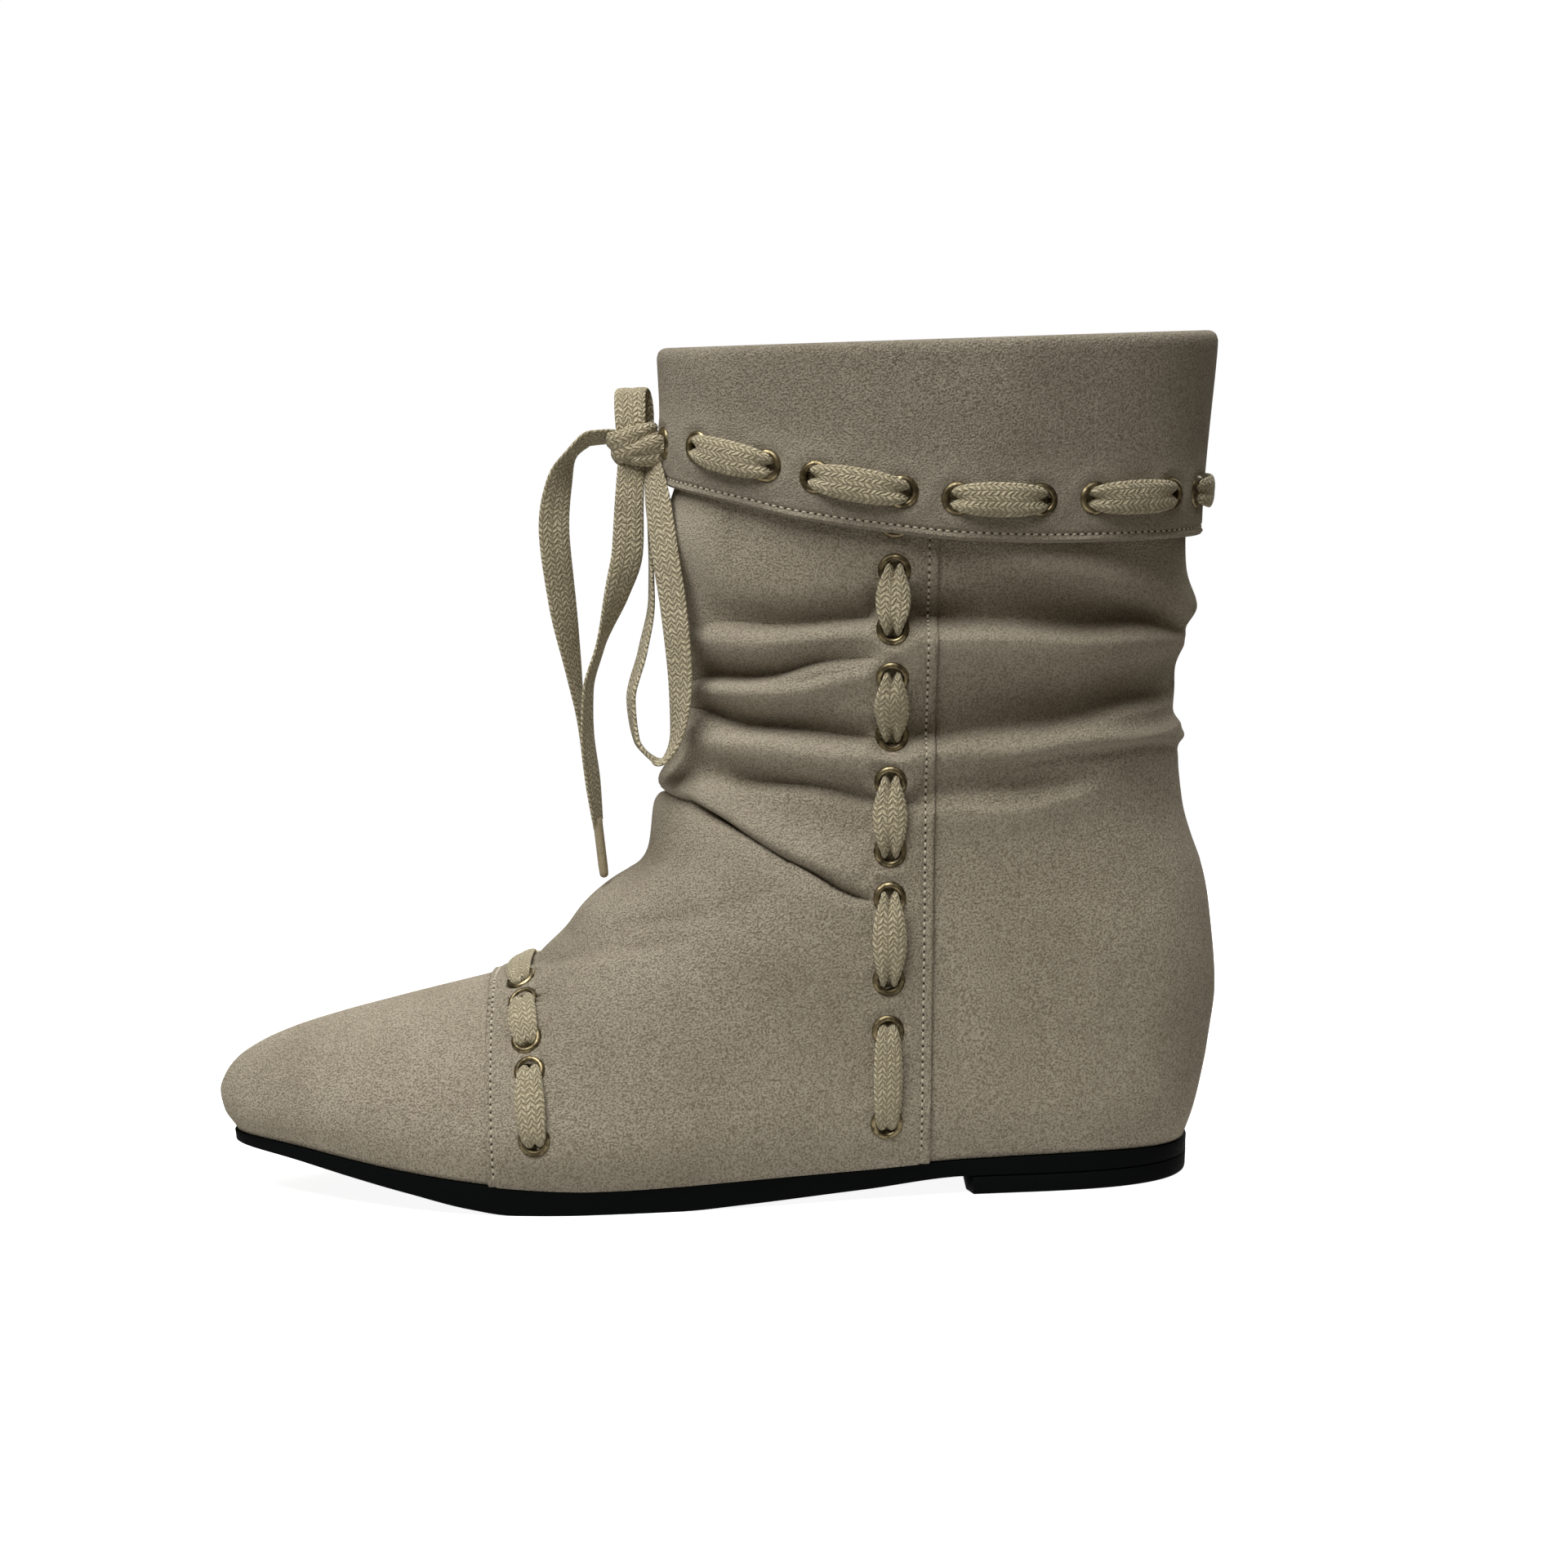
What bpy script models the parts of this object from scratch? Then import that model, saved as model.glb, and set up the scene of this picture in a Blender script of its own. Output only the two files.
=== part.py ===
"""Left slouch ankle boot: suede upper, turned-down cuff, flat laces woven through eyelets, low black sole.

The toe points to -X and the outer (lateral) side of the boot is -Y. Sizes are in millimetres, and MM turns
them into Blender's metres. The origin is on the floor, under the middle of the boot's box.
"""

import math
from typing import NamedTuple

import bmesh
import bpy
import numpy as np
from mathutils import Vector
from mathutils.bvhtree import BVHTree

MM = 0.001

# Driving dimensions
WALL = 1.8
CUFF_WALL = 1.8
SEAT_GAP = 0.3
BALL_X = -36.0
TOE_TIP_Z = 26.0
TOE_IN = 5.0
MIDLINE_Y = 0.5
THROAT_Z = 104.0
COLLAR_Z = 213.0
BOOT_TOP_Z = 216.0
HEEL_ROUND_X = 72.0
HEEL_BREAST_X = 61.0
HEEL_LIFT_Z = 4.7
HEEL_CORNER = 4.0
OUTSOLE_TOP_SPREAD = 0.7
INSOLE_THICKNESS = 3.0
INSOLE_INSET = WALL + 0.9
INSOLE_TAPER = 0.6
HEEL_SEAT_Z = 31.0
# The hidden wedge rises from the sole to the heel seat between these lengths.
WEDGE_RUN = (-35.0, 82.0)

# Sewing: the front panel laps over the toe piece and over the back panel.
TOE_SEAM_X = -60.3
SIDE_SEAM_FOOT = (51.6, 10.0)
SIDE_SEAM_TOP = (58.0, 166.0)
PANEL_STEP = 0.8
PANEL_EDGE = 0.6

# Eyelets, and the pins that cut their holes
EYELET_HOLE_R = 2.4
EYELET_BARREL_R = 2.95
EYELET_FLANGE_R = 4.1
EYELET_CREST_R = 3.1
EYELET_HEIGHT = 0.8
EYELET_DEPTH = WALL + 0.2
EYELET_SIDES = 8
WALL_HOLE_R = 3.47
PIN_SIDES = 6
PIN_LENGTH = 7.0
PIN_DEPTH = 1.0

# Flat lace: full size outside the wall, narrower behind it and inside an eyelet
LACE_WIDTH = 8.2
LACE_THICKNESS = 1.5
INNER_WIDTH = 5.0
INNER_THICKNESS = 1.1
HOLE_WIDTH = 3.3
HOLE_THICKNESS = 1.7
HOLE_SUNK = 0.2
# At an eyelet the lace turns over the rim, pinched, and lies flat again a little further on.
TURN_WIDTH = 3.8
TURN_REACH = 1.0
TURN_RISE = 0.55
INNER_TURN_DEPTH = 0.95
FLAT_REACH = 3.1
FLAT_SHARE = 0.8
LACE_RISE = 1.1
LACE_BULGE = 0.3
# A lace follows the wall at one more place between eyelets that are this far apart.
LONG_SPAN = 16.0
SHORT_SPAN_SHARES = (0.5,)
LONG_SPAN_SHARES = (0.34, 0.66)
TOE_LACE_X = -53.6
TOE_LACE_LEAN = 6.0
SIDE_LACE_FOOT = (40.8, 20.5)
SIDE_LACE_TOP = (47.0, 165.0)


class Section(NamedTuple):
    """A level of the boot: its front and back ends, and its half widths where it is a shaft."""

    z: float
    front: float
    back: float
    lateral: float
    medial: float


class Station(NamedTuple):
    """A place along the last: its half widths at the widest level and the roundness of its section."""

    x: float
    lateral: float
    medial: float
    roundness: float


class Edge(NamedTuple):
    """A place along the sole: the height of its underside and of its top, where the upper starts."""

    x: float
    under: float
    top: float


class Fold(NamedTuple):
    """A soft ridge (positive) or trough (negative) round the shaft, from one angle and height to another.

    Angles are in degrees: 0 is the front, 90 the lateral side and 180 the back.
    """

    start: float
    start_z: float
    end: float
    end_z: float
    depth: float
    spread: float


class Hem(NamedTuple):
    """The cuff at an angle round the shaft: the height of its lower edge and of its row of eyelets."""

    angle: float
    hem_z: float
    lace_z: float


class SideStep(NamedTuple):
    """A line round the sole's or heel's side: how far outside the upper's edge, and how high from below."""

    spread: float
    height: float


class LaceRow(NamedTuple):
    """How a lace runs: its wall, the room behind that, the side it starts on and whether a bow ties it."""

    wall: float
    clearance: float
    starts_inside: bool
    tied: bool


class Bend(NamedTuple):
    """A place along a strand of the bow, with the lace's width there.

    The turn is 0 where the lace is seen edge-on from the boot's outer side and 90 where it lies flat to it.
    """

    x: float
    y: float
    z: float
    turn: float
    width: float


SECTIONS = [
    Section(z=8.5, front=-127.0, back=118.9, lateral=36.0, medial=34.0),
    Section(z=16.0, front=-129.2, back=121.7, lateral=36.0, medial=34.0),
    Section(z=21.0, front=-132.4, back=123.1, lateral=36.0, medial=34.0),
    Section(z=TOE_TIP_Z, front=-133.4, back=124.3, lateral=36.0, medial=34.0),
    Section(z=30.0, front=-132.0, back=125.2, lateral=36.0, medial=34.0),
    Section(z=34.5, front=-128.5, back=126.0, lateral=36.0, medial=34.0),
    Section(z=38.5, front=-122.5, back=126.7, lateral=36.0, medial=34.0),
    Section(z=42.5, front=-113.0, back=127.4, lateral=36.0, medial=34.0),
    Section(z=46.5, front=-99.0, back=127.9, lateral=36.0, medial=34.0),
    Section(z=50.3, front=-83.0, back=128.0, lateral=36.0, medial=34.0),
    Section(z=56.0, front=-59.5, back=127.8, lateral=36.0, medial=34.0),
    Section(z=62.0, front=-46.8, back=127.4, lateral=35.5, medial=34.0),
    Section(z=70.0, front=-38.2, back=126.7, lateral=35.0, medial=33.5),
    Section(z=79.0, front=-28.6, back=125.2, lateral=34.0, medial=33.0),
    Section(z=87.0, front=-20.8, back=123.0, lateral=33.5, medial=32.5),
    Section(z=95.0, front=-15.2, back=121.0, lateral=33.0, medial=32.0),
    Section(z=THROAT_Z, front=-11.0, back=119.8, lateral=33.0, medial=32.0),
    Section(z=116.0, front=-7.4, back=118.6, lateral=33.5, medial=32.5),
    Section(z=130.0, front=-5.2, back=119.8, lateral=34.5, medial=33.5),
    Section(z=150.0, front=-5.4, back=122.2, lateral=36.0, medial=35.0),
    Section(z=172.0, front=-5.6, back=123.4, lateral=37.0, medial=36.0),
    Section(z=COLLAR_Z, front=-8.0, back=130.5, lateral=38.0, medial=37.0),
]
LAST = [
    Station(x=-133.4, lateral=0.0, medial=0.0, roundness=2.4),
    Station(x=-120.0, lateral=16.0, medial=16.5, roundness=2.4),
    Station(x=-105.0, lateral=25.0, medial=26.0, roundness=2.3),
    Station(x=-85.0, lateral=34.0, medial=34.5, roundness=2.2),
    Station(x=-60.0, lateral=40.8, medial=40.8, roundness=2.0),
    Station(x=BALL_X, lateral=43.8, medial=42.5, roundness=1.8),
    Station(x=0.0, lateral=42.0, medial=38.5, roundness=1.7),
    Station(x=30.0, lateral=37.8, medial=34.5, roundness=1.8),
    Station(x=60.0, lateral=35.0, medial=33.5, roundness=1.8),
    Station(x=90.0, lateral=34.4, medial=34.0, roundness=1.8),
    Station(x=128.0, lateral=34.4, medial=34.0, roundness=1.8),
]
SOLE = [
    Edge(x=-130.0, under=13.2, top=16.2),
    Edge(x=-113.0, under=11.2, top=15.0),
    Edge(x=-97.0, under=8.2, top=12.8),
    Edge(x=-81.0, under=4.9, top=10.5),
    Edge(x=-66.0, under=1.6, top=8.6),
    Edge(x=-54.0, under=0.0, top=7.4),
    Edge(x=-31.0, under=0.0, top=6.5),
    Edge(x=-12.0, under=0.0, top=6.9),
    Edge(x=4.0, under=0.9, top=7.6),
    Edge(x=35.0, under=2.9, top=8.4),
    Edge(x=HEEL_BREAST_X, under=5.0, top=9.5),
    Edge(x=93.0, under=5.0, top=10.0),
    Edge(x=122.0, under=5.0, top=8.9),
]
# The lateral side's folds. The medial side has the same ones, a little lower and softer.
FOLDS = [
    Fold(start=60.0, start_z=167.0, end=215.0, end_z=145.0, depth=2.4, spread=6.0),
    Fold(start=20.0, start_z=152.0, end=170.0, end_z=148.0, depth=-2.2, spread=5.0),
    Fold(start=-15.0, start_z=141.0, end=190.0, end_z=137.0, depth=1.8, spread=5.0),
    Fold(start=-20.0, start_z=130.0, end=75.0, end_z=135.0, depth=-2.6, spread=3.4),
    Fold(start=70.0, start_z=127.0, end=205.0, end_z=124.0, depth=-2.6, spread=6.0),
    Fold(start=-20.0, start_z=123.0, end=100.0, end_z=113.0, depth=2.2, spread=4.0),
    Fold(start=80.0, start_z=115.0, end=215.0, end_z=114.0, depth=2.4, spread=3.6),
    Fold(start=95.0, start_z=108.0, end=210.0, end_z=108.0, depth=-1.5, spread=3.0),
    Fold(start=-30.0, start_z=116.0, end=85.0, end_z=106.0, depth=-2.4, spread=3.0),
    Fold(start=-30.0, start_z=108.0, end=80.0, end_z=97.0, depth=2.6, spread=3.6),
    Fold(start=-30.0, start_z=101.0, end=92.0, end_z=77.0, depth=-3.0, spread=2.8),
    Fold(start=-30.0, start_z=94.0, end=75.0, end_z=76.0, depth=1.4, spread=4.0),
    Fold(start=-25.0, start_z=69.0, end=60.0, end_z=78.0, depth=-1.6, spread=4.5),
]
MEDIAL_FOLD_DROP = 3.0
MEDIAL_FOLD_SHARE = 0.8
# Under the cuff the shaft is smooth.
FOLDS_END = (150.0, 164.0)
CUFF = [
    Hem(angle=0.0, hem_z=180.4, lace_z=192.2),
    Hem(angle=22.0, hem_z=178.9, lace_z=192.0),
    Hem(angle=41.0, hem_z=176.6, lace_z=188.6),
    Hem(angle=56.0, hem_z=173.4, lace_z=185.0),
    Hem(angle=75.0, hem_z=169.9, lace_z=180.5),
    Hem(angle=96.0, hem_z=166.6, lace_z=176.9),
    Hem(angle=120.0, hem_z=165.0, lace_z=175.8),
    Hem(angle=180.0, hem_z=164.2, lace_z=175.6),
]
# How far the cuff's inside stands off the shaft: snug at the fold, clear of the lace behind the eyelets.
CUFF_GAP_TOP = PANEL_STEP + 0.3
CUFF_GAP_SHOULDER = PANEL_STEP + 0.8
CUFF_GAP_LACE = PANEL_STEP + 2.3
# The rounding of the fold on top, as depths below the boot's top.
CUFF_SHOULDER_DROP = 12.0
CUFF_FOLD_INNER_DROP = 0.9
CUFF_FOLD_OUTER_DROP = 1.2

OUTSOLE_SIDE = [SideStep(spread=-1.0, height=0.0), SideStep(spread=0.5, height=1.2)]
HEEL_SIDE = [
    SideStep(spread=-0.6, height=0.0),
    SideStep(spread=0.2, height=0.9),
    SideStep(spread=0.5, height=HEEL_LIFT_Z),
]

# Where each lace passes the wall, in the order that it is threaded.
CUFF_EYELET_ANGLES = [9.5, 29.0, 50.2, 62.4, 81.3, 93.1, 111.3, 124.5, 148.0, 162.5]
SIDE_EYELET_HEIGHTS = [171.8, 159.8, 145.2, 133.4, 118.3, 106.8, 89.3, 77.6, 57.1, 44.1, 20.5]
TOE_EYELET_ANGLES = [79.0, 55.5, 44.0, 29.0, 18.0]
TOE_LACE_CENTRE_Z = 12.0
LACE_ROWS = {
    "cuff": LaceRow(wall=CUFF_WALL, clearance=1.35, starts_inside=True, tied=True),
    "side": LaceRow(wall=WALL, clearance=2.8, starts_inside=True, tied=False),
    "toe": LaceRow(wall=WALL, clearance=2.8, starts_inside=False, tied=False),
}

# The bow: its knot as a box, then its strands, each from the knot on.
KNOT_MIDDLE = (-17.4, 0.0, 191.9)
KNOT_SIZE = (10.8, 10.4, 9.8)
KNOT_BEVEL = 2.4
STRANDS = {
    "bow_end_left": [
        Bend(x=-23.1, y=-2.0, z=193.6, turn=40.0, width=6.0),
        Bend(x=-28.5, y=-4.0, z=193.8, turn=35.0, width=7.0),
        Bend(x=-33.3, y=-5.0, z=190.4, turn=20.0, width=7.5),
        Bend(x=-36.8, y=-5.0, z=183.5, turn=50.0, width=8.0),
        Bend(x=-38.8, y=-5.0, z=170.6, turn=75.0, width=8.0),
        Bend(x=-37.6, y=-3.5, z=153.0, turn=60.0, width=8.0),
        Bend(x=-35.6, y=0.0, z=135.0, turn=30.0, width=7.5),
        Bend(x=-34.1, y=2.5, z=120.0, turn=10.0, width=7.0),
        Bend(x=-32.6, y=3.5, z=106.0, turn=20.0, width=6.0),
    ],
    "bow_end_right": [
        Bend(x=-18.6, y=-4.0, z=186.6, turn=90.0, width=6.5),
        Bend(x=-19.4, y=-5.5, z=176.0, turn=90.0, width=7.5),
        Bend(x=-20.2, y=-6.0, z=165.0, turn=85.0, width=8.0),
        Bend(x=-23.4, y=-5.5, z=154.0, turn=50.0, width=8.0),
        Bend(x=-28.4, y=-5.0, z=140.0, turn=12.0, width=8.0),
        Bend(x=-31.8, y=-5.0, z=129.0, turn=15.0, width=8.0),
        Bend(x=-32.4, y=-5.0, z=118.0, turn=20.0, width=8.0),
        Bend(x=-31.5, y=-4.5, z=107.0, turn=28.0, width=7.0),
        Bend(x=-30.8, y=-4.0, z=97.0, turn=30.0, width=4.5),
    ],
    "bow_loop_long": [
        Bend(x=-13.0, y=-0.5, z=185.5, turn=0.0, width=6.5),
        Bend(x=-12.8, y=-7.5, z=178.0, turn=-12.0, width=7.0),
        Bend(x=-11.4, y=-13.0, z=166.0, turn=-35.0, width=8.0),
        Bend(x=-10.0, y=-16.5, z=150.0, turn=-50.0, width=8.0),
        Bend(x=-8.2, y=-18.5, z=133.0, turn=-50.0, width=8.0),
        Bend(x=-9.0, y=-18.0, z=119.0, turn=-25.0, width=8.0),
        Bend(x=-13.6, y=-15.5, z=111.8, turn=0.0, width=8.0),
        Bend(x=-19.4, y=-12.5, z=117.0, turn=10.0, width=8.0),
        Bend(x=-20.6, y=-10.0, z=127.0, turn=15.0, width=8.0),
        Bend(x=-17.2, y=-6.5, z=139.5, turn=15.0, width=8.0),
        Bend(x=-14.6, y=-3.5, z=153.0, turn=8.0, width=8.0),
        Bend(x=-14.4, y=0.0, z=170.0, turn=0.0, width=7.0),
        Bend(x=-14.9, y=1.4, z=186.6, turn=0.0, width=6.5),
    ],
    "bow_loop_short": [
        Bend(x=-18.2, y=-3.6, z=197.2, turn=90.0, width=7.5),
        Bend(x=-18.0, y=-3.8, z=203.0, turn=90.0, width=8.0),
        Bend(x=-17.7, y=-2.6, z=206.0, turn=90.0, width=8.0),
        Bend(x=-17.0, y=0.4, z=207.0, turn=90.0, width=8.0),
        Bend(x=-16.3, y=3.2, z=205.4, turn=90.0, width=8.0),
        Bend(x=-16.0, y=3.4, z=197.2, turn=90.0, width=7.5),
    ],
}
AGLET_R = 1.25
AGLET_LENGTH = 15.0
AGLETS = {"aglet_left": "bow_end_left", "aglet_right": "bow_end_right"}

# Mesh density
COLUMNS = 32
LEVELS = [
    6.5, 12.0, 19.0, 26.0, 32.5, 38.5, 44.0, 49.0, 54.5, 61.0, 69.0, 77.0, 84.5, 91.5, 97.5,
    102.5, 107.0, 111.5, 116.0, 121.0, 126.0, 131.0, 138.0, 147.0, 158.0, COLLAR_Z,
]

# Finishes: colour, roughness and metallic value.
FINISHES = {
    "suede": ((0.40, 0.355, 0.275), 0.95, 0.0),
    "rubber": ((0.004, 0.005, 0.005), 0.65, 0.0),
    "lining": ((0.50, 0.42, 0.32), 0.9, 0.0),
    "lace": ((0.50, 0.43, 0.29), 0.95, 0.0),
    "brass": ((0.20, 0.16, 0.085), 0.4, 1.0),
    "aglet": ((0.44, 0.37, 0.24), 0.5, 0.0),
}

# The outline's heights blend from the last's section to the shaft's between these two levels.
SHAFT_BLEND = (58.0, 102.0)
# The sole's curve fades out of the levels above this height.
SOLE_CURVE_TOP = 45.0
RIDGE_RISE = 5.0
SECTION_SIDE_POWER = 1.9
SHAFT_POWER = 2.15
HEEL_POWER = 2.8
UNDERCUT_SHARE = 0.09
UNDERCUT_RISE = 16.0
TOE_UNDERCUT_REACH = 45.0


def smooth_curve(xs, ys, at):
    """Monotone cubic through points, held level past their ends."""
    gaps = np.diff(xs)
    rises = np.diff(ys) / gaps
    slopes = np.zeros_like(xs)
    rising = rises[:-1] * rises[1:] > 0
    near = 2 * gaps[1:] + gaps[:-1]
    far = gaps[1:] + 2 * gaps[:-1]
    before, after = rises[:-1][rising], rises[1:][rising]
    slopes[1:-1][rising] = (near + far)[rising] / (near[rising] / before + far[rising] / after)
    slopes[0], slopes[-1] = rises[0], rises[-1]
    x = np.clip(np.asarray(at, float), xs[0], xs[-1])
    i = np.clip(np.searchsorted(xs, x) - 1, 0, len(gaps) - 1)
    h = gaps[i]
    s = (x - xs[i]) / h
    return (
        (1 + 2 * s) * (1 - s) ** 2 * ys[i]
        + s * (1 - s) ** 2 * h * slopes[i]
        + s * s * (3 - 2 * s) * ys[i + 1]
        + s * s * (s - 1) * h * slopes[i + 1]
    )


def smooth_through(table, column, at):
    """One column of a table, as a smooth curve over the table's first column."""
    xs = np.array([row[0] for row in table], float)
    ys = np.array([getattr(row, column) for row in table], float)
    return smooth_curve(xs, ys, at)


def ease(value, low, high):
    """0 below low, 1 above high, and a smooth S between."""
    s = np.clip((np.asarray(value, float) - low) / (high - low), 0, 1)
    return s * s * (3 - 2 * s)


def front_at(z):
    return smooth_through(SECTIONS, "front", z)


def back_at(z):
    return smooth_through(SECTIONS, "back", z)


def sole_top(x):
    return smooth_through(SOLE, "top", x)


def sole_under(x):
    return smooth_through(SOLE, "under", x)


def ridge_at(x):
    """Height of the last's top line: up toe and instep to the throat, then steeply on in the shaft."""
    heights = np.linspace(TOE_TIP_Z, THROAT_Z, 160)
    fronts = front_at(heights)
    beyond = np.maximum(np.asarray(x, float) - fronts[-1], 0)
    return np.interp(x, fronts, heights) + RIDGE_RISE * beyond


def midline(x):
    """The line that the two half widths start from: the toe leans to the medial side."""
    reach = np.clip((BALL_X - np.asarray(x, float)) / (BALL_X - LAST[0].x), 0, 1)
    return MIDLINE_Y + TOE_IN * reach**1.6


def last_half_width(x, z, side):
    """Half width of the foot part, from a dome section whose size follows the last's stations."""
    undercut = np.minimum(front_at(np.minimum(z, TOE_TIP_Z)), front_at(z)) - LAST[0].x
    shift = np.where(z < TOE_TIP_Z, undercut * np.clip(1 - (x - front_at(z)) / TOE_UNDERCUT_REACH, 0, 1), 0)
    squared = [station._replace(lateral=station.lateral**2, medial=station.medial**2) for station in LAST]
    width = np.sqrt(np.maximum(smooth_through(squared, side, x - shift), 0))
    floor = sole_top(x)
    height = np.clip((z - floor) / np.maximum(ridge_at(x - shift) - floor, 1e-6), 0, 1)
    dome = (1 - height ** smooth_through(LAST, "roundness", x)) ** (1 / SECTION_SIDE_POWER)
    tuck = 1 - UNDERCUT_SHARE * np.clip(1 - (z - floor) / UNDERCUT_RISE, 0, 1) ** 2
    past = np.clip((x - HEEL_ROUND_X) / (back_at(z) - HEEL_ROUND_X), 0, 1)
    return width * dome * tuck * (1 - past**HEEL_POWER) ** (1 / HEEL_POWER)


def shaft_half_width(x, z, side):
    """Half width of the shaft, from a full oval between its front and back."""
    front, back = front_at(z), back_at(z)
    from_middle = np.clip(np.abs(2 * (x - front) / (back - front) - 1), 0, 1)
    return smooth_through(SECTIONS, side, z) * (1 - from_middle**SHAFT_POWER) ** (1 / SHAFT_POWER)


def half_width(x, z, side):
    share = ease(z, *SHAFT_BLEND)
    return (1 - share) * last_half_width(x, z, side) + share * shaft_half_width(x, z, side)


def level_ends(level):
    """Front and back of a level, which follows the sole's curve low down and is flat higher up."""
    lift = 1 - ease(level, LEVELS[0], SOLE_CURVE_TOP)
    ends = []
    for profile, x in ((front_at, LAST[0].x), (back_at, LAST[-1].x)):
        for _ in range(20):
            x = profile(level + lift * (sole_top(x) - LEVELS[0]))
        ends.append(float(x))
    return ends[0], ends[1], lift


def fold_height(angle, z):
    """Sum of the folds at angles round the shaft, in degrees from the front, and heights."""
    total = np.zeros(np.broadcast(angle, z).shape)
    for fold in FOLDS:
        for turn, drop, share in ((1, 0.0, 1.0), (-1, MEDIAL_FOLD_DROP, MEDIAL_FOLD_SHARE)):
            round_to = np.mod(turn * angle - fold.start + 90, 360) - 90
            along = np.clip(round_to / (fold.end - fold.start), 0, 1)
            line = fold.start_z + (fold.end_z - fold.start_z) * along - drop
            window = np.sin(math.pi * along) ** 0.7
            total += share * fold.depth * window * np.exp(-(((z - line) / fold.spread) ** 2))
    return total


def side_of_column(columns):
    """Each column's place along the boot, 0 front to 1 back, and its side, -1 lateral and 1 medial."""
    turn = np.arange(columns) / columns * 2
    return np.where(turn <= 1, turn, 2 - turn), np.where(turn <= 1, -1.0, 1.0)


def outline(x, z, along, sides):
    """Points of a loop at these lengths and heights, closed at its two ends."""
    width = np.where(sides < 0, half_width(x, z, "lateral"), half_width(x, z, "medial"))
    width[(along == 0) | (along == 1)] = 0
    return np.stack([x, midline(x) + sides * width, z], axis=1)


def wall_loop(level, columns):
    """One loop of the upper's outer face, before its folds."""
    along, sides = side_of_column(columns)
    front, back, lift = level_ends(level)
    x = front + (back - front) * (1 - np.cos(math.pi * along)) / 2
    return outline(x, level + lift * (sole_top(x) - LEVELS[0]), along, sides)


def grid_normals(grid):
    """Outward unit normals of loops stacked from the sole up."""
    around = np.roll(grid, -1, axis=1) - np.roll(grid, 1, axis=1)
    up = np.gradient(grid, axis=0)
    normals = np.cross(around, up)
    return normals / np.linalg.norm(normals, axis=2, keepdims=True)


def wall_grid(levels, columns):
    """The upper's outer face as loops of points, with its folds."""
    grid = np.array([wall_loop(level, columns) for level in levels])
    along, sides = side_of_column(columns)
    angle = 180 * along * -sides
    heights = grid[:, :, 2]
    folds = fold_height(angle[None, :], heights) * (1 - ease(heights, *FOLDS_END))
    return grid + grid_normals(grid) * folds[:, :, None]


def finish(name):
    """The material of that name, made once."""
    material = bpy.data.materials.get(name)
    if material is None:
        colour, roughness, metallic = FINISHES[name]
        material = bpy.data.materials.new(name)
        material.use_nodes = True
        shader = material.node_tree.nodes["Principled BSDF"]
        shader.inputs["Base Color"].default_value = (*colour, 1.0)
        shader.inputs["Roughness"].default_value = roughness
        shader.inputs["Metallic"].default_value = metallic
        material.diffuse_color = (*colour, 1.0)
    return material


def add_object(name, mesh, finish_name, collection):
    item = bpy.data.objects.new(name, mesh)
    if finish_name:
        mesh.materials.append(finish(finish_name))
        mesh.shade_smooth()
        mesh.set_sharp_from_angle(angle=math.radians(40))
    collection.objects.link(item)
    return item


def ring_faces(count, first, second):
    """Quads between two rings of points, given where each ring starts."""
    return [
        (first + j, first + (j + 1) % count, second + (j + 1) % count, second + j) for j in range(count)
    ]


def ladder_faces(count, first, flip):
    """Quads across a ring, each joining the two sides at one length of the boot."""
    half = count // 2
    faces = [(first, first + 1, first + count - 1)]
    faces += [
        (first + k, first + k + 1, first + count - k - 1, first + count - k) for k in range(1, half - 1)
    ]
    faces.append((first + half - 1, first + half, first + half + 1))
    return [tuple(reversed(face)) for face in faces] if flip else faces


def loft(name, rings, ends):
    """A mesh through rings of points. Its ends are open, capped, laddered across, or joined to each other."""
    rings = np.asarray(rings, float)
    count = rings.shape[1]
    starts = [i * count for i in range(len(rings))]
    faces = []
    for first, second in zip(starts, starts[1:]):
        faces += ring_faces(count, first, second)
    if ends == "joined":
        faces += ring_faces(count, starts[-1], starts[0])
    if ends == "laddered":
        faces += ladder_faces(count, starts[0], True) + ladder_faces(count, starts[-1], False)
    if ends == "capped":
        faces.append(tuple(range(count))[::-1])
        faces.append(tuple(starts[-1] + j for j in range(count)))
    mesh = bpy.data.meshes.new(name)
    mesh.from_pydata((rings.reshape(-1, 3) * MM).tolist(), [], faces)
    tidy = bmesh.new()
    tidy.from_mesh(mesh)
    if ends != "open":
        bmesh.ops.recalc_face_normals(tidy, faces=tidy.faces)
    tidy.to_mesh(mesh)
    tidy.free()
    return mesh


def seam_planes():
    """The toe seam and the side seam, each as a point on it and the direction into the front panel."""
    (foot_x, foot_z), (top_x, top_z) = SIDE_SEAM_FOOT, SIDE_SEAM_TOP
    lean = Vector((top_z - foot_z, 0, foot_x - top_x)).normalized()
    return [
        (Vector((TOE_SEAM_X, 0, 0)) * MM, Vector((1, 0, 0))),
        (Vector((foot_x, 0, foot_z)) * MM, -lean),
    ]


def raise_front_panel(shell):
    """Cuts the panel's edges into the face and lifts the panel off the toe piece and the back panel."""
    planes = seam_planes()
    for point, inward in planes:
        for depth in (0.0, PANEL_EDGE * MM):
            everything = shell.verts[:] + shell.edges[:] + shell.faces[:]
            bmesh.ops.bisect_plane(
                shell, geom=everything, dist=1e-7, plane_co=point + inward * depth, plane_no=inward
            )
    shell.normal_update()
    inside = [
        vert
        for vert in shell.verts
        if all((vert.co - point).dot(inward) > 0.9 * PANEL_EDGE * MM for point, inward in planes)
    ]
    lifts = [vert.normal * PANEL_STEP * MM for vert in inside]
    for vert, lift in zip(inside, lifts):
        vert.co += lift
    shell.normal_update()


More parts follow.
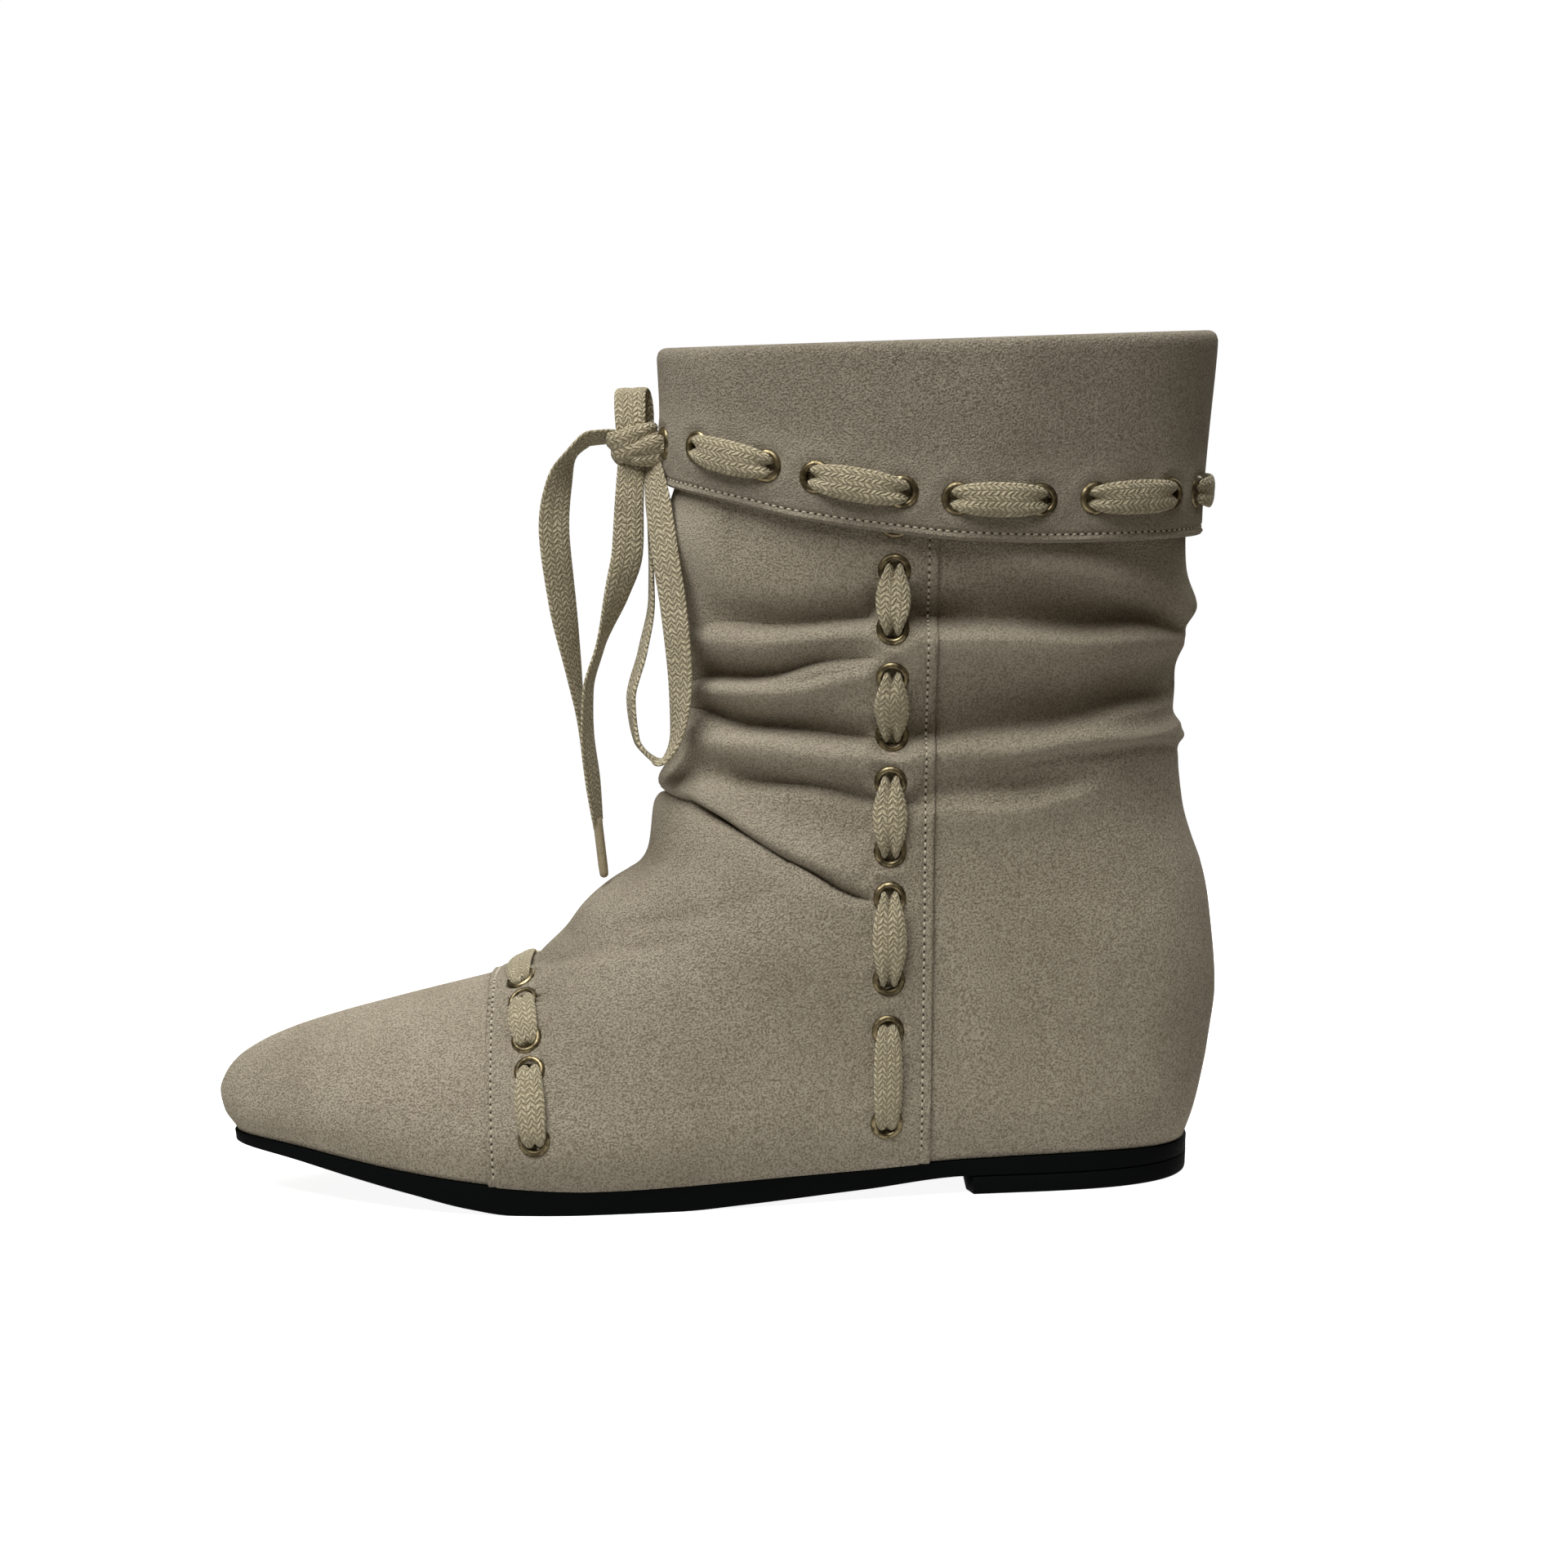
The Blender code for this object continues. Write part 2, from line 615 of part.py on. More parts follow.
def build_upper_face():
    """The upper's outer face, open at the sole and at the collar."""
    mesh = loft("upper", wall_grid(LEVELS, COLUMNS), "open")
    shell = bmesh.new()
    shell.from_mesh(mesh)
    raise_front_panel(shell)
    shell.to_mesh(mesh)
    tree = BVHTree.FromBMesh(shell)
    shell.free()
    return mesh, tree


def cuff_offsets(angle):
    """The cuff's section at an angle, as distances out from the shaft's face and heights.

    The first list goes up inside it and over the fold, and the second down its outer face.
    """
    hem = smooth_through(CUFF, "hem_z", abs(angle))
    lace = smooth_through(CUFF, "lace_z", abs(angle))
    fold_under = COLLAR_Z + SEAT_GAP
    shoulder = BOOT_TOP_Z - CUFF_SHOULDER_DROP
    inside = [
        (CUFF_GAP_LACE, hem),
        (CUFF_GAP_LACE, lace),
        (CUFF_GAP_SHOULDER, shoulder),
        (CUFF_GAP_TOP, fold_under),
        (-WALL, fold_under),
        (-WALL, BOOT_TOP_Z - CUFF_FOLD_INNER_DROP),
        (-WALL / 2, BOOT_TOP_Z),
        (CUFF_GAP_TOP + CUFF_WALL / 2, BOOT_TOP_Z),
    ]
    outside = [
        (CUFF_GAP_TOP + CUFF_WALL, BOOT_TOP_Z - CUFF_FOLD_OUTER_DROP),
        (CUFF_GAP_SHOULDER + CUFF_WALL, shoulder),
        (CUFF_GAP_LACE + CUFF_WALL, lace),
        (CUFF_GAP_LACE + CUFF_WALL, hem),
    ]
    return inside, outside


def shaft_point(angle, z, out):
    """A point at an angle round the smooth shaft, at a height, and that far out from its face."""
    along = np.array([abs(angle) / 180])
    side = np.array([-1.0 if angle >= 0 else 1.0])
    level = np.array([min(z, COLLAR_Z)])

    def at(step):
        turned = np.clip(along + step, 0, 1)
        front, back = front_at(level), back_at(level)
        x = front + (back - front) * (1 - np.cos(math.pi * turned)) / 2
        return outline(x, level, turned, side)[0]

    here = at(0.0)
    across = at(0.004) - at(-0.004)
    normal = np.array([across[1], -across[0], 0.0]) * -side[0]
    normal /= np.linalg.norm(normal)
    return np.array([here[0], here[1], z]) + out * normal, normal


def build_cuff():
    """The turned-down cuff: it covers the collar's edge and hangs outside the shaft.

    Its outer face is also given as a tree, to seat the eyelets on.
    """
    along, sides = side_of_column(COLUMNS)
    rings = []
    for angle in 180 * along * -sides:
        inside, outside = cuff_offsets(angle)
        rings.append([shaft_point(angle, z, out)[0] for out, z in inside + outside])
    rings = np.array(rings)
    face = rings[:, len(inside):]
    rows = face.shape[1]
    quads = []
    for row in range(rows - 1):
        for ring in range(COLUMNS):
            here, ahead = ring * rows + row, (ring + 1) % COLUMNS * rows + row
            quads.append((here, here + 1, ahead + 1, ahead))
    tree = BVHTree.FromPolygons([Vector(p) * MM for p in face.reshape(-1, 3)], quads)
    return loft("cuff", rings, "joined"), tree


def cast(tree, start, direction):
    """First hit of a ray from far outside towards a point, as point and outward normal in millimetres."""
    start, direction = Vector(start) * MM, Vector(direction).normalized()
    hit, normal, _, _ = tree.ray_cast(start + direction * 0.2, -direction)
    return np.array(hit) / MM, np.array(normal)


def seat(tree, start, direction):
    """Where an eyelet sits: a plane just clear of the surface under its whole flange."""
    centre, normal = cast(tree, start, direction)
    for _ in range(2):
        side = np.cross(normal, (0.3, 0.2, 0.9))
        side /= np.linalg.norm(side)
        other = np.cross(normal, side)
        found = []
        for k in range(12):
            turn = 2 * math.pi * k / 12
            rim = centre + EYELET_FLANGE_R * (math.cos(turn) * side + math.sin(turn) * other)
            found.append(cast(tree, rim, normal))
        normal = sum(n for _, n in found) + normal
        normal /= np.linalg.norm(normal)
    proud = max(0.0, max((point - centre) @ normal for point, _ in found))
    return centre + normal * (proud + SEAT_GAP), normal


def cuff_seats(tree):
    """The cuff's eyelets from the front round the lateral side, the back and the medial side to the front."""
    seats = []
    angles = CUFF_EYELET_ANGLES + [-angle for angle in reversed(CUFF_EYELET_ANGLES)]
    for angle in angles:
        height = float(smooth_through(CUFF, "lace_z", abs(angle)))
        point, normal = shaft_point(angle, height, 0.0)
        seats.append(seat(tree, point, normal))
    return seats


def side_seats(tree):
    """The lateral side's eyelets, from under the cuff down."""
    (foot_x, foot_z), (top_x, top_z) = SIDE_LACE_FOOT, SIDE_LACE_TOP
    seats = []
    for z in SIDE_EYELET_HEIGHTS:
        x = foot_x + (top_x - foot_x) * (z - foot_z) / (top_z - foot_z)
        seats.append(seat(tree, (x, 0, z), (0, -1, 0)))
    return seats


def toe_seats(tree):
    """The vamp's eyelets, up the lateral side, over the ridge and down the medial side.

    Their row leans back down the sides.
    """
    seats = []
    for angle in [-a for a in TOE_EYELET_ANGLES] + TOE_EYELET_ANGLES[::-1]:
        turn = math.radians(angle)
        x = TOE_LACE_X + TOE_LACE_LEAN * abs(math.sin(turn))
        centre = (x, float(midline(x)), TOE_LACE_CENTRE_Z)
        seats.append(seat(tree, centre, (0, math.sin(turn), math.cos(turn))))
    return seats


def build_eyelet_profile():
    """The eyelet's section, to be turned about Z: barrel through the wall, flange on its face, crest."""
    points = [
        (EYELET_HOLE_R, -EYELET_DEPTH),
        (EYELET_BARREL_R, 0.0),
        (EYELET_FLANGE_R, 0.0),
        (EYELET_CREST_R, EYELET_HEIGHT),
    ]
    edges = [(k, (k + 1) % len(points)) for k in range(len(points))]
    mesh = bpy.data.meshes.new("eyelet profile")
    mesh.from_pydata([Vector((radius, 0, height)) * MM for radius, height in points], edges, [])
    mesh.materials.append(finish("brass"))
    return mesh


def add_eyelet(name, profile, place, normal, collection):
    """A ring turned from the profile and set in its place."""
    eyelet = bpy.data.objects.new(name, profile)
    eyelet.location = Vector(place) * MM
    eyelet.rotation_euler = Vector(normal).to_track_quat("Z", "Y").to_euler()
    turned = eyelet.modifiers.new("turned", "SCREW")
    turned.steps = turned.render_steps = EYELET_SIDES
    turned.use_normal_flip = True
    collection.objects.link(eyelet)


def build_pins(name, places, radius, length):
    """One mesh of round pins, each given by its middle and direction."""
    pins = bmesh.new()
    for middle, direction in places:
        turn = Vector(direction).to_track_quat("Z", "Y").to_matrix().to_4x4()
        turn.translation = Vector(middle) * MM
        bmesh.ops.create_cone(
            pins,
            cap_ends=True,
            segments=PIN_SIDES,
            radius1=radius * MM,
            radius2=radius * MM,
            depth=length * MM,
            matrix=turn,
        )
    mesh = bpy.data.meshes.new(name)
    pins.to_mesh(mesh)
    pins.free()
    return mesh


def band_section(centre, across, up, width, thickness):
    """Corners of a flat lace's section."""
    half, rise = across * width / 2, up * thickness / 2
    return [centre - half - rise, centre + half - rise, centre + half + rise, centre - half + rise]


def unit(vector):
    return vector / np.linalg.norm(vector)


def run_between(tree, first, second, inside, wall, clearance):
    """Sections of the lace from one eyelet to the next, outside the wall or inside it by the clearance."""
    (start, start_normal), (end, end_normal) = first, second
    along = unit(end - start)
    if inside:
        out, lift, turn_lift, bulge = -1, -(wall + clearance), -(wall + INNER_TURN_DEPTH), 0.0
        width, thickness = INNER_WIDTH, INNER_THICKNESS
    else:
        out, lift, turn_lift, bulge = 1, EYELET_HEIGHT + LACE_RISE, EYELET_HEIGHT + TURN_RISE, LACE_BULGE
        width, thickness = LACE_WIDTH, LACE_THICKNESS
    sections = []
    for place, normal, way in ((start, start_normal, 1), (end, end_normal, -1)):
        across = unit(np.cross(normal, along))
        ahead = unit(np.cross(across, normal))
        up = unit(normal * out - way * ahead) * out
        turn_at = place + turn_lift * normal + way * TURN_REACH * ahead
        flat_at = place + lift * normal + way * FLAT_REACH * ahead
        turn = band_section(turn_at, across, up, TURN_WIDTH, thickness)
        flat = band_section(flat_at, across, normal, FLAT_SHARE * width, thickness)
        sections.append([turn, flat])
    middle = []
    span = np.linalg.norm(end - start)
    for share in SHORT_SPAN_SHARES if span < LONG_SPAN else LONG_SPAN_SHARES:
        point = Vector((start + (end - start) * share) * MM)
        near, normal, _, _ = tree.find_nearest(point)
        normal = unit(np.array(normal) + start_normal + end_normal)
        across = unit(np.cross(normal, along))
        centre = np.array(near) / MM + normal * (lift + SEAT_GAP + bulge)
        middle.append(band_section(centre, across, normal, width, thickness))
    return [*sections[0], *middle, sections[1][1], sections[1][0]]


def through_hole(place, normal, along, wall, inward):
    """Sections of the lace inside an eyelet, in the order that it passes them."""
    across = unit(np.cross(normal, along))
    ahead = unit(np.cross(across, normal))
    up = ahead if inward else -ahead
    sections = []
    for height in (EYELET_HEIGHT - HOLE_SUNK, -wall):
        sections.append(band_section(place + height * normal, across, up, HOLE_WIDTH, HOLE_THICKNESS))
    return sections if inward else sections[::-1]


def woven_lace(name, tree, seats, row):
    """A lace that goes in and out through the eyelets.

    A tied one comes out of its first and last eyelets towards the knot; others end there.
    """
    inside = row.starts_inside
    sections = []
    across_front = run_between(tree, seats[-1], seats[0], False, row.wall, row.clearance) if row.tied else []
    sections += across_front[-2:]
    for k, (place, normal) in enumerate(seats):
        before, after = seats[max(k - 1, 0)][0], seats[min(k + 1, len(seats) - 1)][0]
        sections += through_hole(place, normal, unit(after - before), row.wall, inward=inside)
        if k + 1 < len(seats):
            sections += run_between(tree, seats[k], seats[k + 1], inside, row.wall, row.clearance)
        inside = not inside
    sections += across_front[:2]
    return loft(name, np.array(sections), "capped")


def strand_sections(bends):
    """Sections of a free strand: two for each bend of its table."""
    rows = np.array(bends, float)
    places = np.arange(len(rows), dtype=float)
    steps = np.linspace(0, len(rows) - 1, 2 * len(rows) - 1)
    x, y, z, turns, widths = (smooth_curve(places, column, steps) for column in rows.T)
    path = np.stack([x, y, z], axis=1)
    sections = []
    for point, ahead, turn, width in zip(path, np.gradient(path, axis=0), np.radians(turns), widths):
        ahead = unit(ahead)
        depth = unit(np.array([0.0, 1.0, 0.0]) - ahead * ahead[1])
        across = math.cos(turn) * depth + math.sin(turn) * np.cross(ahead, depth)
        sections.append(band_section(point, across, np.cross(ahead, across), width, LACE_THICKNESS))
    return np.array(sections)


def build_knot():
    """The knot, as a block with rounded edges."""
    block = bmesh.new()
    bmesh.ops.create_cube(block, size=1.0)
    for vert in block.verts:
        vert.co = Vector(np.array(KNOT_MIDDLE) + np.array(vert.co) * KNOT_SIZE) * MM
    bmesh.ops.bevel(block, geom=block.edges[:], offset=KNOT_BEVEL * MM, segments=1, affect="EDGES")
    mesh = bpy.data.meshes.new("bow_knot")
    block.to_mesh(mesh)
    block.free()
    return mesh


def build_aglet(name, bends):
    """The hard tip that carries on from a strand's end."""
    sections = strand_sections(bends)
    end, before = sections[-1].mean(axis=0), sections[-2].mean(axis=0)
    ahead = unit(end - before)
    middle = end + ahead * (SEAT_GAP + AGLET_LENGTH / 2)
    return build_pins(name, [(middle, ahead)], AGLET_R, AGLET_LENGTH)


def moved_out(loop, spread):
    """The plan of a loop, moved outwards by spread."""
    ahead = np.roll(loop, -1, axis=0) - np.roll(loop, 1, axis=0)
    out = np.stack([ahead[:, 1], -ahead[:, 0]], axis=1)
    return loop[:, :2] + spread * out / np.linalg.norm(out, axis=1, keepdims=True)


def sole_outline(spread):
    """The sole's outline: the upper's lower edge, moved outwards by spread."""
    return moved_out(wall_loop(LEVELS[0], COLUMNS), spread)


def build_outsole():
    """A plate with toe spring and arch, its side stepped in at the bottom edge."""
    rings = []
    for step in OUTSOLE_SIDE:
        flat = sole_outline(step.spread)
        rings.append(np.column_stack([flat, sole_under(flat[:, 0]) + step.height]))
    flat = sole_outline(OUTSOLE_TOP_SPREAD)
    rings.append(np.column_stack([flat, sole_top(flat[:, 0]) - SEAT_GAP]))
    return loft("outsole", np.array(rings), "laddered")


def build_heel_lift():
    """The low heel block: the back of the sole's outline, closed by a straight breast."""
    rings = []
    for step in HEEL_SIDE:
        flat = sole_outline(step.spread)
        first = next(k for k in range(COLUMNS // 2) if flat[k, 0] > HEEL_BREAST_X + HEEL_CORNER)
        last = COLUMNS - first
        plan = [(HEEL_BREAST_X, flat[first, 1]), *flat[first : last + 1], (HEEL_BREAST_X, flat[last, 1])]
        rings.append([(x, y, step.height) for x, y in plan])
    return loft("heel_lift", np.array(rings), "capped")


def insole_top(x):
    """The footbed: level with the sole in front, on a wedge under the heel."""
    low = sole_top(x) + INSOLE_THICKNESS
    return low + ease(x, *WEDGE_RUN) * (HEEL_SEAT_Z - low)


def build_insole():
    """A footbed that fills the boot's floor, with a wedge under the heel."""
    along, sides = side_of_column(COLUMNS)
    rings = []
    for surface, inset in ((sole_top, INSOLE_INSET + INSOLE_TAPER), (insole_top, INSOLE_INSET)):
        front, back = LAST[0].x, LAST[-1].x
        for _ in range(20):
            front, back = front_at(surface(front)), back_at(surface(back))
        x = front + (back - front) * (1 - np.cos(math.pi * along)) / 2
        flat = moved_out(outline(x, surface(x), along, sides), -inset)
        rings.append(np.column_stack([flat, surface(flat[:, 0])]))
    return loft("insole", np.array(rings), "laddered")


def thicken(item):
    """Gives an open face its wall, on the inside."""
    wall = item.modifiers.new("wall", "SOLIDIFY")
    wall.thickness = WALL * MM
    wall.offset = -1
    wall.use_even_offset = True


def punch(item, row_name, seats, cutters):
    """Cuts a row of eyelet holes through a wall."""
    places = [(place - normal * PIN_DEPTH, normal) for place, normal in seats]
    mesh = build_pins(f"{row_name}_holes", places, WALL_HOLE_R, PIN_LENGTH)
    cutter = add_object(f"{row_name}_holes", mesh, None, cutters)
    cutter.hide_render = True
    cutter.display_type = "WIRE"
    holes = item.modifiers.new("eyelet holes", "BOOLEAN")
    holes.operation = "DIFFERENCE"
    holes.object = cutter


def main():
    for item in list(bpy.data.objects):
        bpy.data.objects.remove(item)
    boot = bpy.data.collections.new("slouch ankle boot")
    cutters = bpy.data.collections.new("cutters")
    for collection in (boot, cutters):
        bpy.context.scene.collection.children.link(collection)

    upper_mesh, upper_tree = build_upper_face()
    upper = add_object("upper", upper_mesh, "suede", boot)
    thicken(upper)
    cuff_mesh, cuff_tree = build_cuff()
    cuff = add_object("cuff", cuff_mesh, "suede", boot)
    add_object("outsole", build_outsole(), "rubber", boot)
    add_object("heel_lift", build_heel_lift(), "rubber", boot)
    add_object("insole", build_insole(), "lining", boot)

    profile = build_eyelet_profile()
    laced = {
        "cuff": (cuff, cuff_tree, cuff_seats(cuff_tree)),
        "side": (upper, upper_tree, side_seats(upper_tree)),
        "toe": (upper, upper_tree, toe_seats(upper_tree)),
    }
    for row_name, (wall, tree, seats) in laced.items():
        punch(wall, row_name, seats, cutters)
        for k, (place, normal) in enumerate(seats):
            add_eyelet(f"eyelet_{row_name}_{k + 1:02d}", profile, place, normal, boot)
        lace = woven_lace(f"lace_{row_name}", tree, seats, LACE_ROWS[row_name])
        add_object(f"lace_{row_name}", lace, "lace", boot)

    add_object("bow_knot", build_knot(), "lace", boot)
    for name, bends in STRANDS.items():
        add_object(name, loft(name, strand_sections(bends), "capped"), "lace", boot)
    for name, strand in AGLETS.items():
        add_object(name, build_aglet(name, STRANDS[strand]), "aglet", boot)


main()
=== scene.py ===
"""Looks of a left slouch ankle boot: folded suede panels, woven laces, a bow and a black sole.

Sizes are in millimetres in the boot's own frame, and MM turns them into metres. The toe points to -X and the
outer (lateral) side of the boot is -Y.
"""

import math
from collections import namedtuple
from functools import partial

import bmesh
import bpy
import numpy as np
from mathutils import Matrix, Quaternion, Vector
from mathutils.bvhtree import BVHTree


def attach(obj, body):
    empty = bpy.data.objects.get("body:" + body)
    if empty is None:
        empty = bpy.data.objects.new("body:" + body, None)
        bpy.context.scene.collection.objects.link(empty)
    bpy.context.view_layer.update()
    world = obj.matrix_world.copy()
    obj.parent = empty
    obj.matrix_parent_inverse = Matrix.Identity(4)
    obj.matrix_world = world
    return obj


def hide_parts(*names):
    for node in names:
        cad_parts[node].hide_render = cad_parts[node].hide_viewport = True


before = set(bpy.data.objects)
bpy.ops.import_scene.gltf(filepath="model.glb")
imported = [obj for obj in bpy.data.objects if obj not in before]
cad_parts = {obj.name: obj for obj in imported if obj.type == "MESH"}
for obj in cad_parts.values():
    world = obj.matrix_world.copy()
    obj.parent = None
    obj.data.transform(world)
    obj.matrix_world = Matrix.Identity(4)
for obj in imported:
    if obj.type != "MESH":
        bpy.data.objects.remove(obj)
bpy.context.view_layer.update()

MM = 0.001

# The photograph's view: metres, a lens for a 36 mm picture, and a slight roll.
CAMERA_AT = (0.01777, -0.900, 0.218)
CAMERA_AIM = (0.01777, 0.0, 0.10285)
CAMERA_LENS = 80.32
CAMERA_ROLL = math.radians(1.9)

# The boot's own sizes, as it is built
WALL = 1.8
CUFF_WALL = 1.8
SEAT_GAP = 0.3
BALL_X = -36.0
TOE_TIP_Z = 26.0
TOE_IN = 5.0
MIDLINE_Y = 0.5
THROAT_Z = 104.0
COLLAR_Z = 213.0
BOOT_TOP_Z = 216.0
SHAFT_MIDDLE_X = 57.0
HEEL_ROUND_X = 72.0
HEEL_BREAST_X = 61.0
HEEL_LIFT_Z = 4.7
INSOLE_THICKNESS = 3.0
INSOLE_INSET = WALL + 0.9
HEEL_SEAT_Z = 31.0
WEDGE_RUN = (-35.0, 82.0)
FOOT_LEVEL = 6.5
SHAFT_BLEND = (58.0, 102.0)
SOLE_CURVE_TOP = 45.0
RIDGE_RISE = 5.0
SECTION_SIDE_POWER = 1.9
SHAFT_POWER = 2.15
HEEL_POWER = 2.8
UNDERCUT_SHARE = 0.09
UNDERCUT_RISE = 16.0
TOE_UNDERCUT_REACH = 45.0

# Panels: the front one laps over the toe piece and over the back one.
TOE_SEAM_X = -60.3
SIDE_SEAM_FOOT = (51.6, 10.0)
SIDE_SEAM_TOP = (58.0, 166.0)
PANEL_LIFT = 0.9
PANEL_THICKNESS = 0.85
LINING_DEPTH = 1.0
LAP = 6.0
CUT_SPARE = 4.0

# Seams: stitches at an inset from the edge, in a groove with fine cuts along it, and an edge that rolls in.
TOE_STITCH_INSET = 1.6
SIDE_STITCH_INSET = 2.3
HEM_STITCH_RISE = 2.1
STITCH_PITCH = 2.0
SIDE_STITCH_RANGE = (12.0, 174.0)
TOE_STITCH_TURN = 97.0
TOE_STITCH_CENTRE_Z = 14.0
SEAM_GROOVE = 0.35
SEAM_GROOVE_WIDTH = 0.6
SEAM_REACH = 4.0
SEAM_CUTS = (-0.9, -0.45, 0.0, 0.45, 0.9, 1.6)
EDGE_CUT = 0.4
EDGE_ROLL = 0.25
EDGE_ROLL_WIDTH = 0.3
STITCH_CAST_FROM = 45.0
HEM_CAST_FROM = 12.0
STITCH_ROUND_ENDS = 0.02
BEAD_ROWS = 7
BEAD_SIDES = 8

# Eyelets: a row faces away from the shaft's middle line, or at the toe from this point inside the boot.
TOE_ROW_X = TOE_SEAM_X + 11
TOE_ROW_CENTRE_Z = 12.0
EYELET_SIDES = 40
EYELET_BESIDE = (0.3, 0.2, 0.9)
EYELET_PROFILE = [
    (2.35, -2.0), (2.4, -0.5), (2.5, 0.2), (2.75, 0.6), (3.1, 0.78), (3.5, 0.7), (3.9, 0.42), (4.15, 0.05),
    (4.1, -0.2), (3.0, -0.25), (2.95, -2.0),
]
# The suede at an eyelet: its hole, and how it is pressed flat with a soft rise round it
SUEDE_HOLE_R = 2.6
SUEDE_HOLE_DEPTH = 7.0
SEAT_PROBE_R = 3.44
SEAT_PROBES = 16
SEAT_HEIGHT_PERCENTILE = 65
PRESS_DEPTH = 8.0
PRESS_BLEND = (3.6, 7.5)
PRESS_SUNK = 0.12
PUFF_RISE = 0.35
PUFF_R = 6.0
PUFF_WIDTH = 1.8

# Laces
LACE_WIDTH = 8.6
RIBBON_THICKNESS = 1.4
RIBBON_SIDES = 24
PLEAT_WIDTH = 0.2
SPLIT_WIDTH = 0.34
STRAND_PLEAT = 0.25
HOLE_PLEAT = 0.5
HOLE_WIDTH = 4.3
HOLE_THICKNESS = 2.3
HOLE_SUNK = -1.5
HOLE_REACH = 1.1
INNER_WIDTH = 5.0
INNER_THICKNESS = 0.8
INNER_CLEAR = 0.75
RUN_STEPS = 40
RUN_SOFTENING = 24
SHORTEST_STEP = 0.02
LEAD_WIDTH = 7.0
LEAD_RISE = 1.6
STRAND_STEPS = 16
WEAVE_BAND = 1.35
WEAVE_PITCH = 1.5
AGLET_PROFILE = [(-0.6, 1.1), (0.2, 1.3), (1.0, 1.22), (13.6, 1.22), (14.6, 1.1), (15.1, 0.6)]
AGLET_SIDES = 20
AGLET_BESIDE = (0.2, 1.0, 0.1)
KNOT_TILT = {"wrap": (-0.35, 0.0, 0.94), "lump": (-0.15, -0.25, 1.0)}
KNOT_STEPS = 48
KNOT_THICKNESS = 2.6
KNOT_PLEAT = 0.5
KNOT_TAILS = (np.array([-14.0, -2.0, 190.6]), np.array([-14.0, 2.0, 190.6]))

# Sole: how far outside the upper's edge, the share of the height, and a lift. The heel has heights instead.
OUTSOLE_SIDE = [
    (-6.0, 0.0, 0.0), (0.2, 0.0, 0.0), (0.42, 0.0, 0.06), (0.5, 0.0, 0.25), (0.55, 0.5, 0.1),
    (0.7, 0.9, 0.0), (0.6, 0.98, 0.0), (0.2, 1.0, 0.0), (-4.0, 1.0, 0.0),
]
HEEL_SIDE = [
    (-0.7, 0.0), (-0.2, 0.12), (0.1, 0.35), (0.25, 0.8), (0.5, HEEL_LIFT_Z - 0.05), (0.45, HEEL_LIFT_Z),
]
HEEL_CORNER = 0.6
BREAST_STEPS = 14
# The footbed's edge: how far in from the wall, and a lift.
INSOLE_SIDE = [
    (INSOLE_INSET + 0.5, -4.0), (INSOLE_INSET, -1.0), (INSOLE_INSET + 0.3, -0.3), (INSOLE_INSET + 1.2, 0.0),
]

# Mesh density: points round the boot, and its rows of points as ranges of heights with their spacing
FINE_COLUMNS = 360
LEVEL_STEPS = [(FOOT_LEVEL, 64.0, 1.25), (64.0, 152.0, 0.55), (152.0, 178.0, 1.0), (178.0, COLLAR_Z, 3.0)]
END_STEPS = 20
SHARP_ANGLE = math.radians(55)
# Rays at a surface start this far outside it.
CAST_FROM = 30.0
# Directions across the shaft are taken over this share of the way from front to back.
TURN_STEP = 0.004

# Cuff: how far its inside stands off the shaft, snug at the fold and clear of the lace behind the eyelets.
CUFF_GAP_TOP = PANEL_LIFT + 0.3
CUFF_GAP_SHOULDER = PANEL_LIFT + 0.8
CUFF_GAP_LACE = PANEL_LIFT + 1.5
CUFF_SHOULDER_DROP = 12.0
# The fold on top: the height of its rounding, how far it covers the lining, and how far down.
CUFF_ROUND = 2.6
CUFF_LIP = 0.5
CUFF_LIP_DROP = 8.0
CUFF_ROUND_STEPS = 12
# The hem: a rolled edge with a groove for its stitches, then rows of points up the face
HEM_ROUND = 0.9
HEM_GROOVE = 0.45
HEM_GROOVE_WIDTH = 0.55
HEM_BULGE = 0.25
HEM_BULGE_WIDTH = 0.8
HEM_ROUND_STEPS = 5
HEM_TOP = 4.0
HEM_ROWS = 11
FACE_ROWS = 45
# The cuff's slow wave, and a painted highlight on its nap, from the hem to these heights above the lace
CUFF_WAVE = 0.35
CUFF_WAVES = 5
CUFF_WAVE_START = 40
CUFF_WAVE_FADE = (180.0, 214.0)
CUFF_PAINTED_HIGHLIGHT = 3.0
CUFF_PAINTED_HIGHLIGHT_FADE = (4.0, 14.0)

# Folds: each line wavers a little, soft dents lie above the foot, and under the cuff the shaft is smooth.
FOLD_WAVER = 0.45
FOLD_WAVER_RATE = 9.0
DENT_DEPTH = 0.25
DENT_RANGE = (45.0, 85.0)
MEDIAL_FOLD_DROP = 3.0
MEDIAL_FOLD_SHARE = 0.8
FOLDS_END = (176.0, 186.0)

# Colours: light and dark of the mixed ones
SUEDE = ((0.585, 0.52, 0.405), (0.185, 0.148, 0.095))
# The toe piece's suede is a lighter copy: a painted highlight for the brighter light on the toe.
LIT_TOE_SUEDE = ((0.64, 0.57, 0.445), (0.21, 0.168, 0.108))
# The cuff's suede is a darker copy of the same colours.
DARKER_CUFF_SUEDE = ((0.455, 0.404, 0.314), (0.145, 0.117, 0.078))
FOLD_SHADE = (0.10, 0.07, 0.035)
SHEEN_TINT = (1.0, 0.93, 0.82, 1.0)
LACE = ((0.64, 0.572, 0.402), (0.30, 0.255, 0.16))
BRASS = ((0.35, 0.285, 0.165), (0.10, 0.08, 0.044))
RUBBER = (0.0035, 0.0042, 0.0042)
GRAIN_SHADE = 0.78
FLOOR_GREY = (0.55, 0.55, 0.55)
WHITE = (1.0, 1.0, 1.0, 1.0)

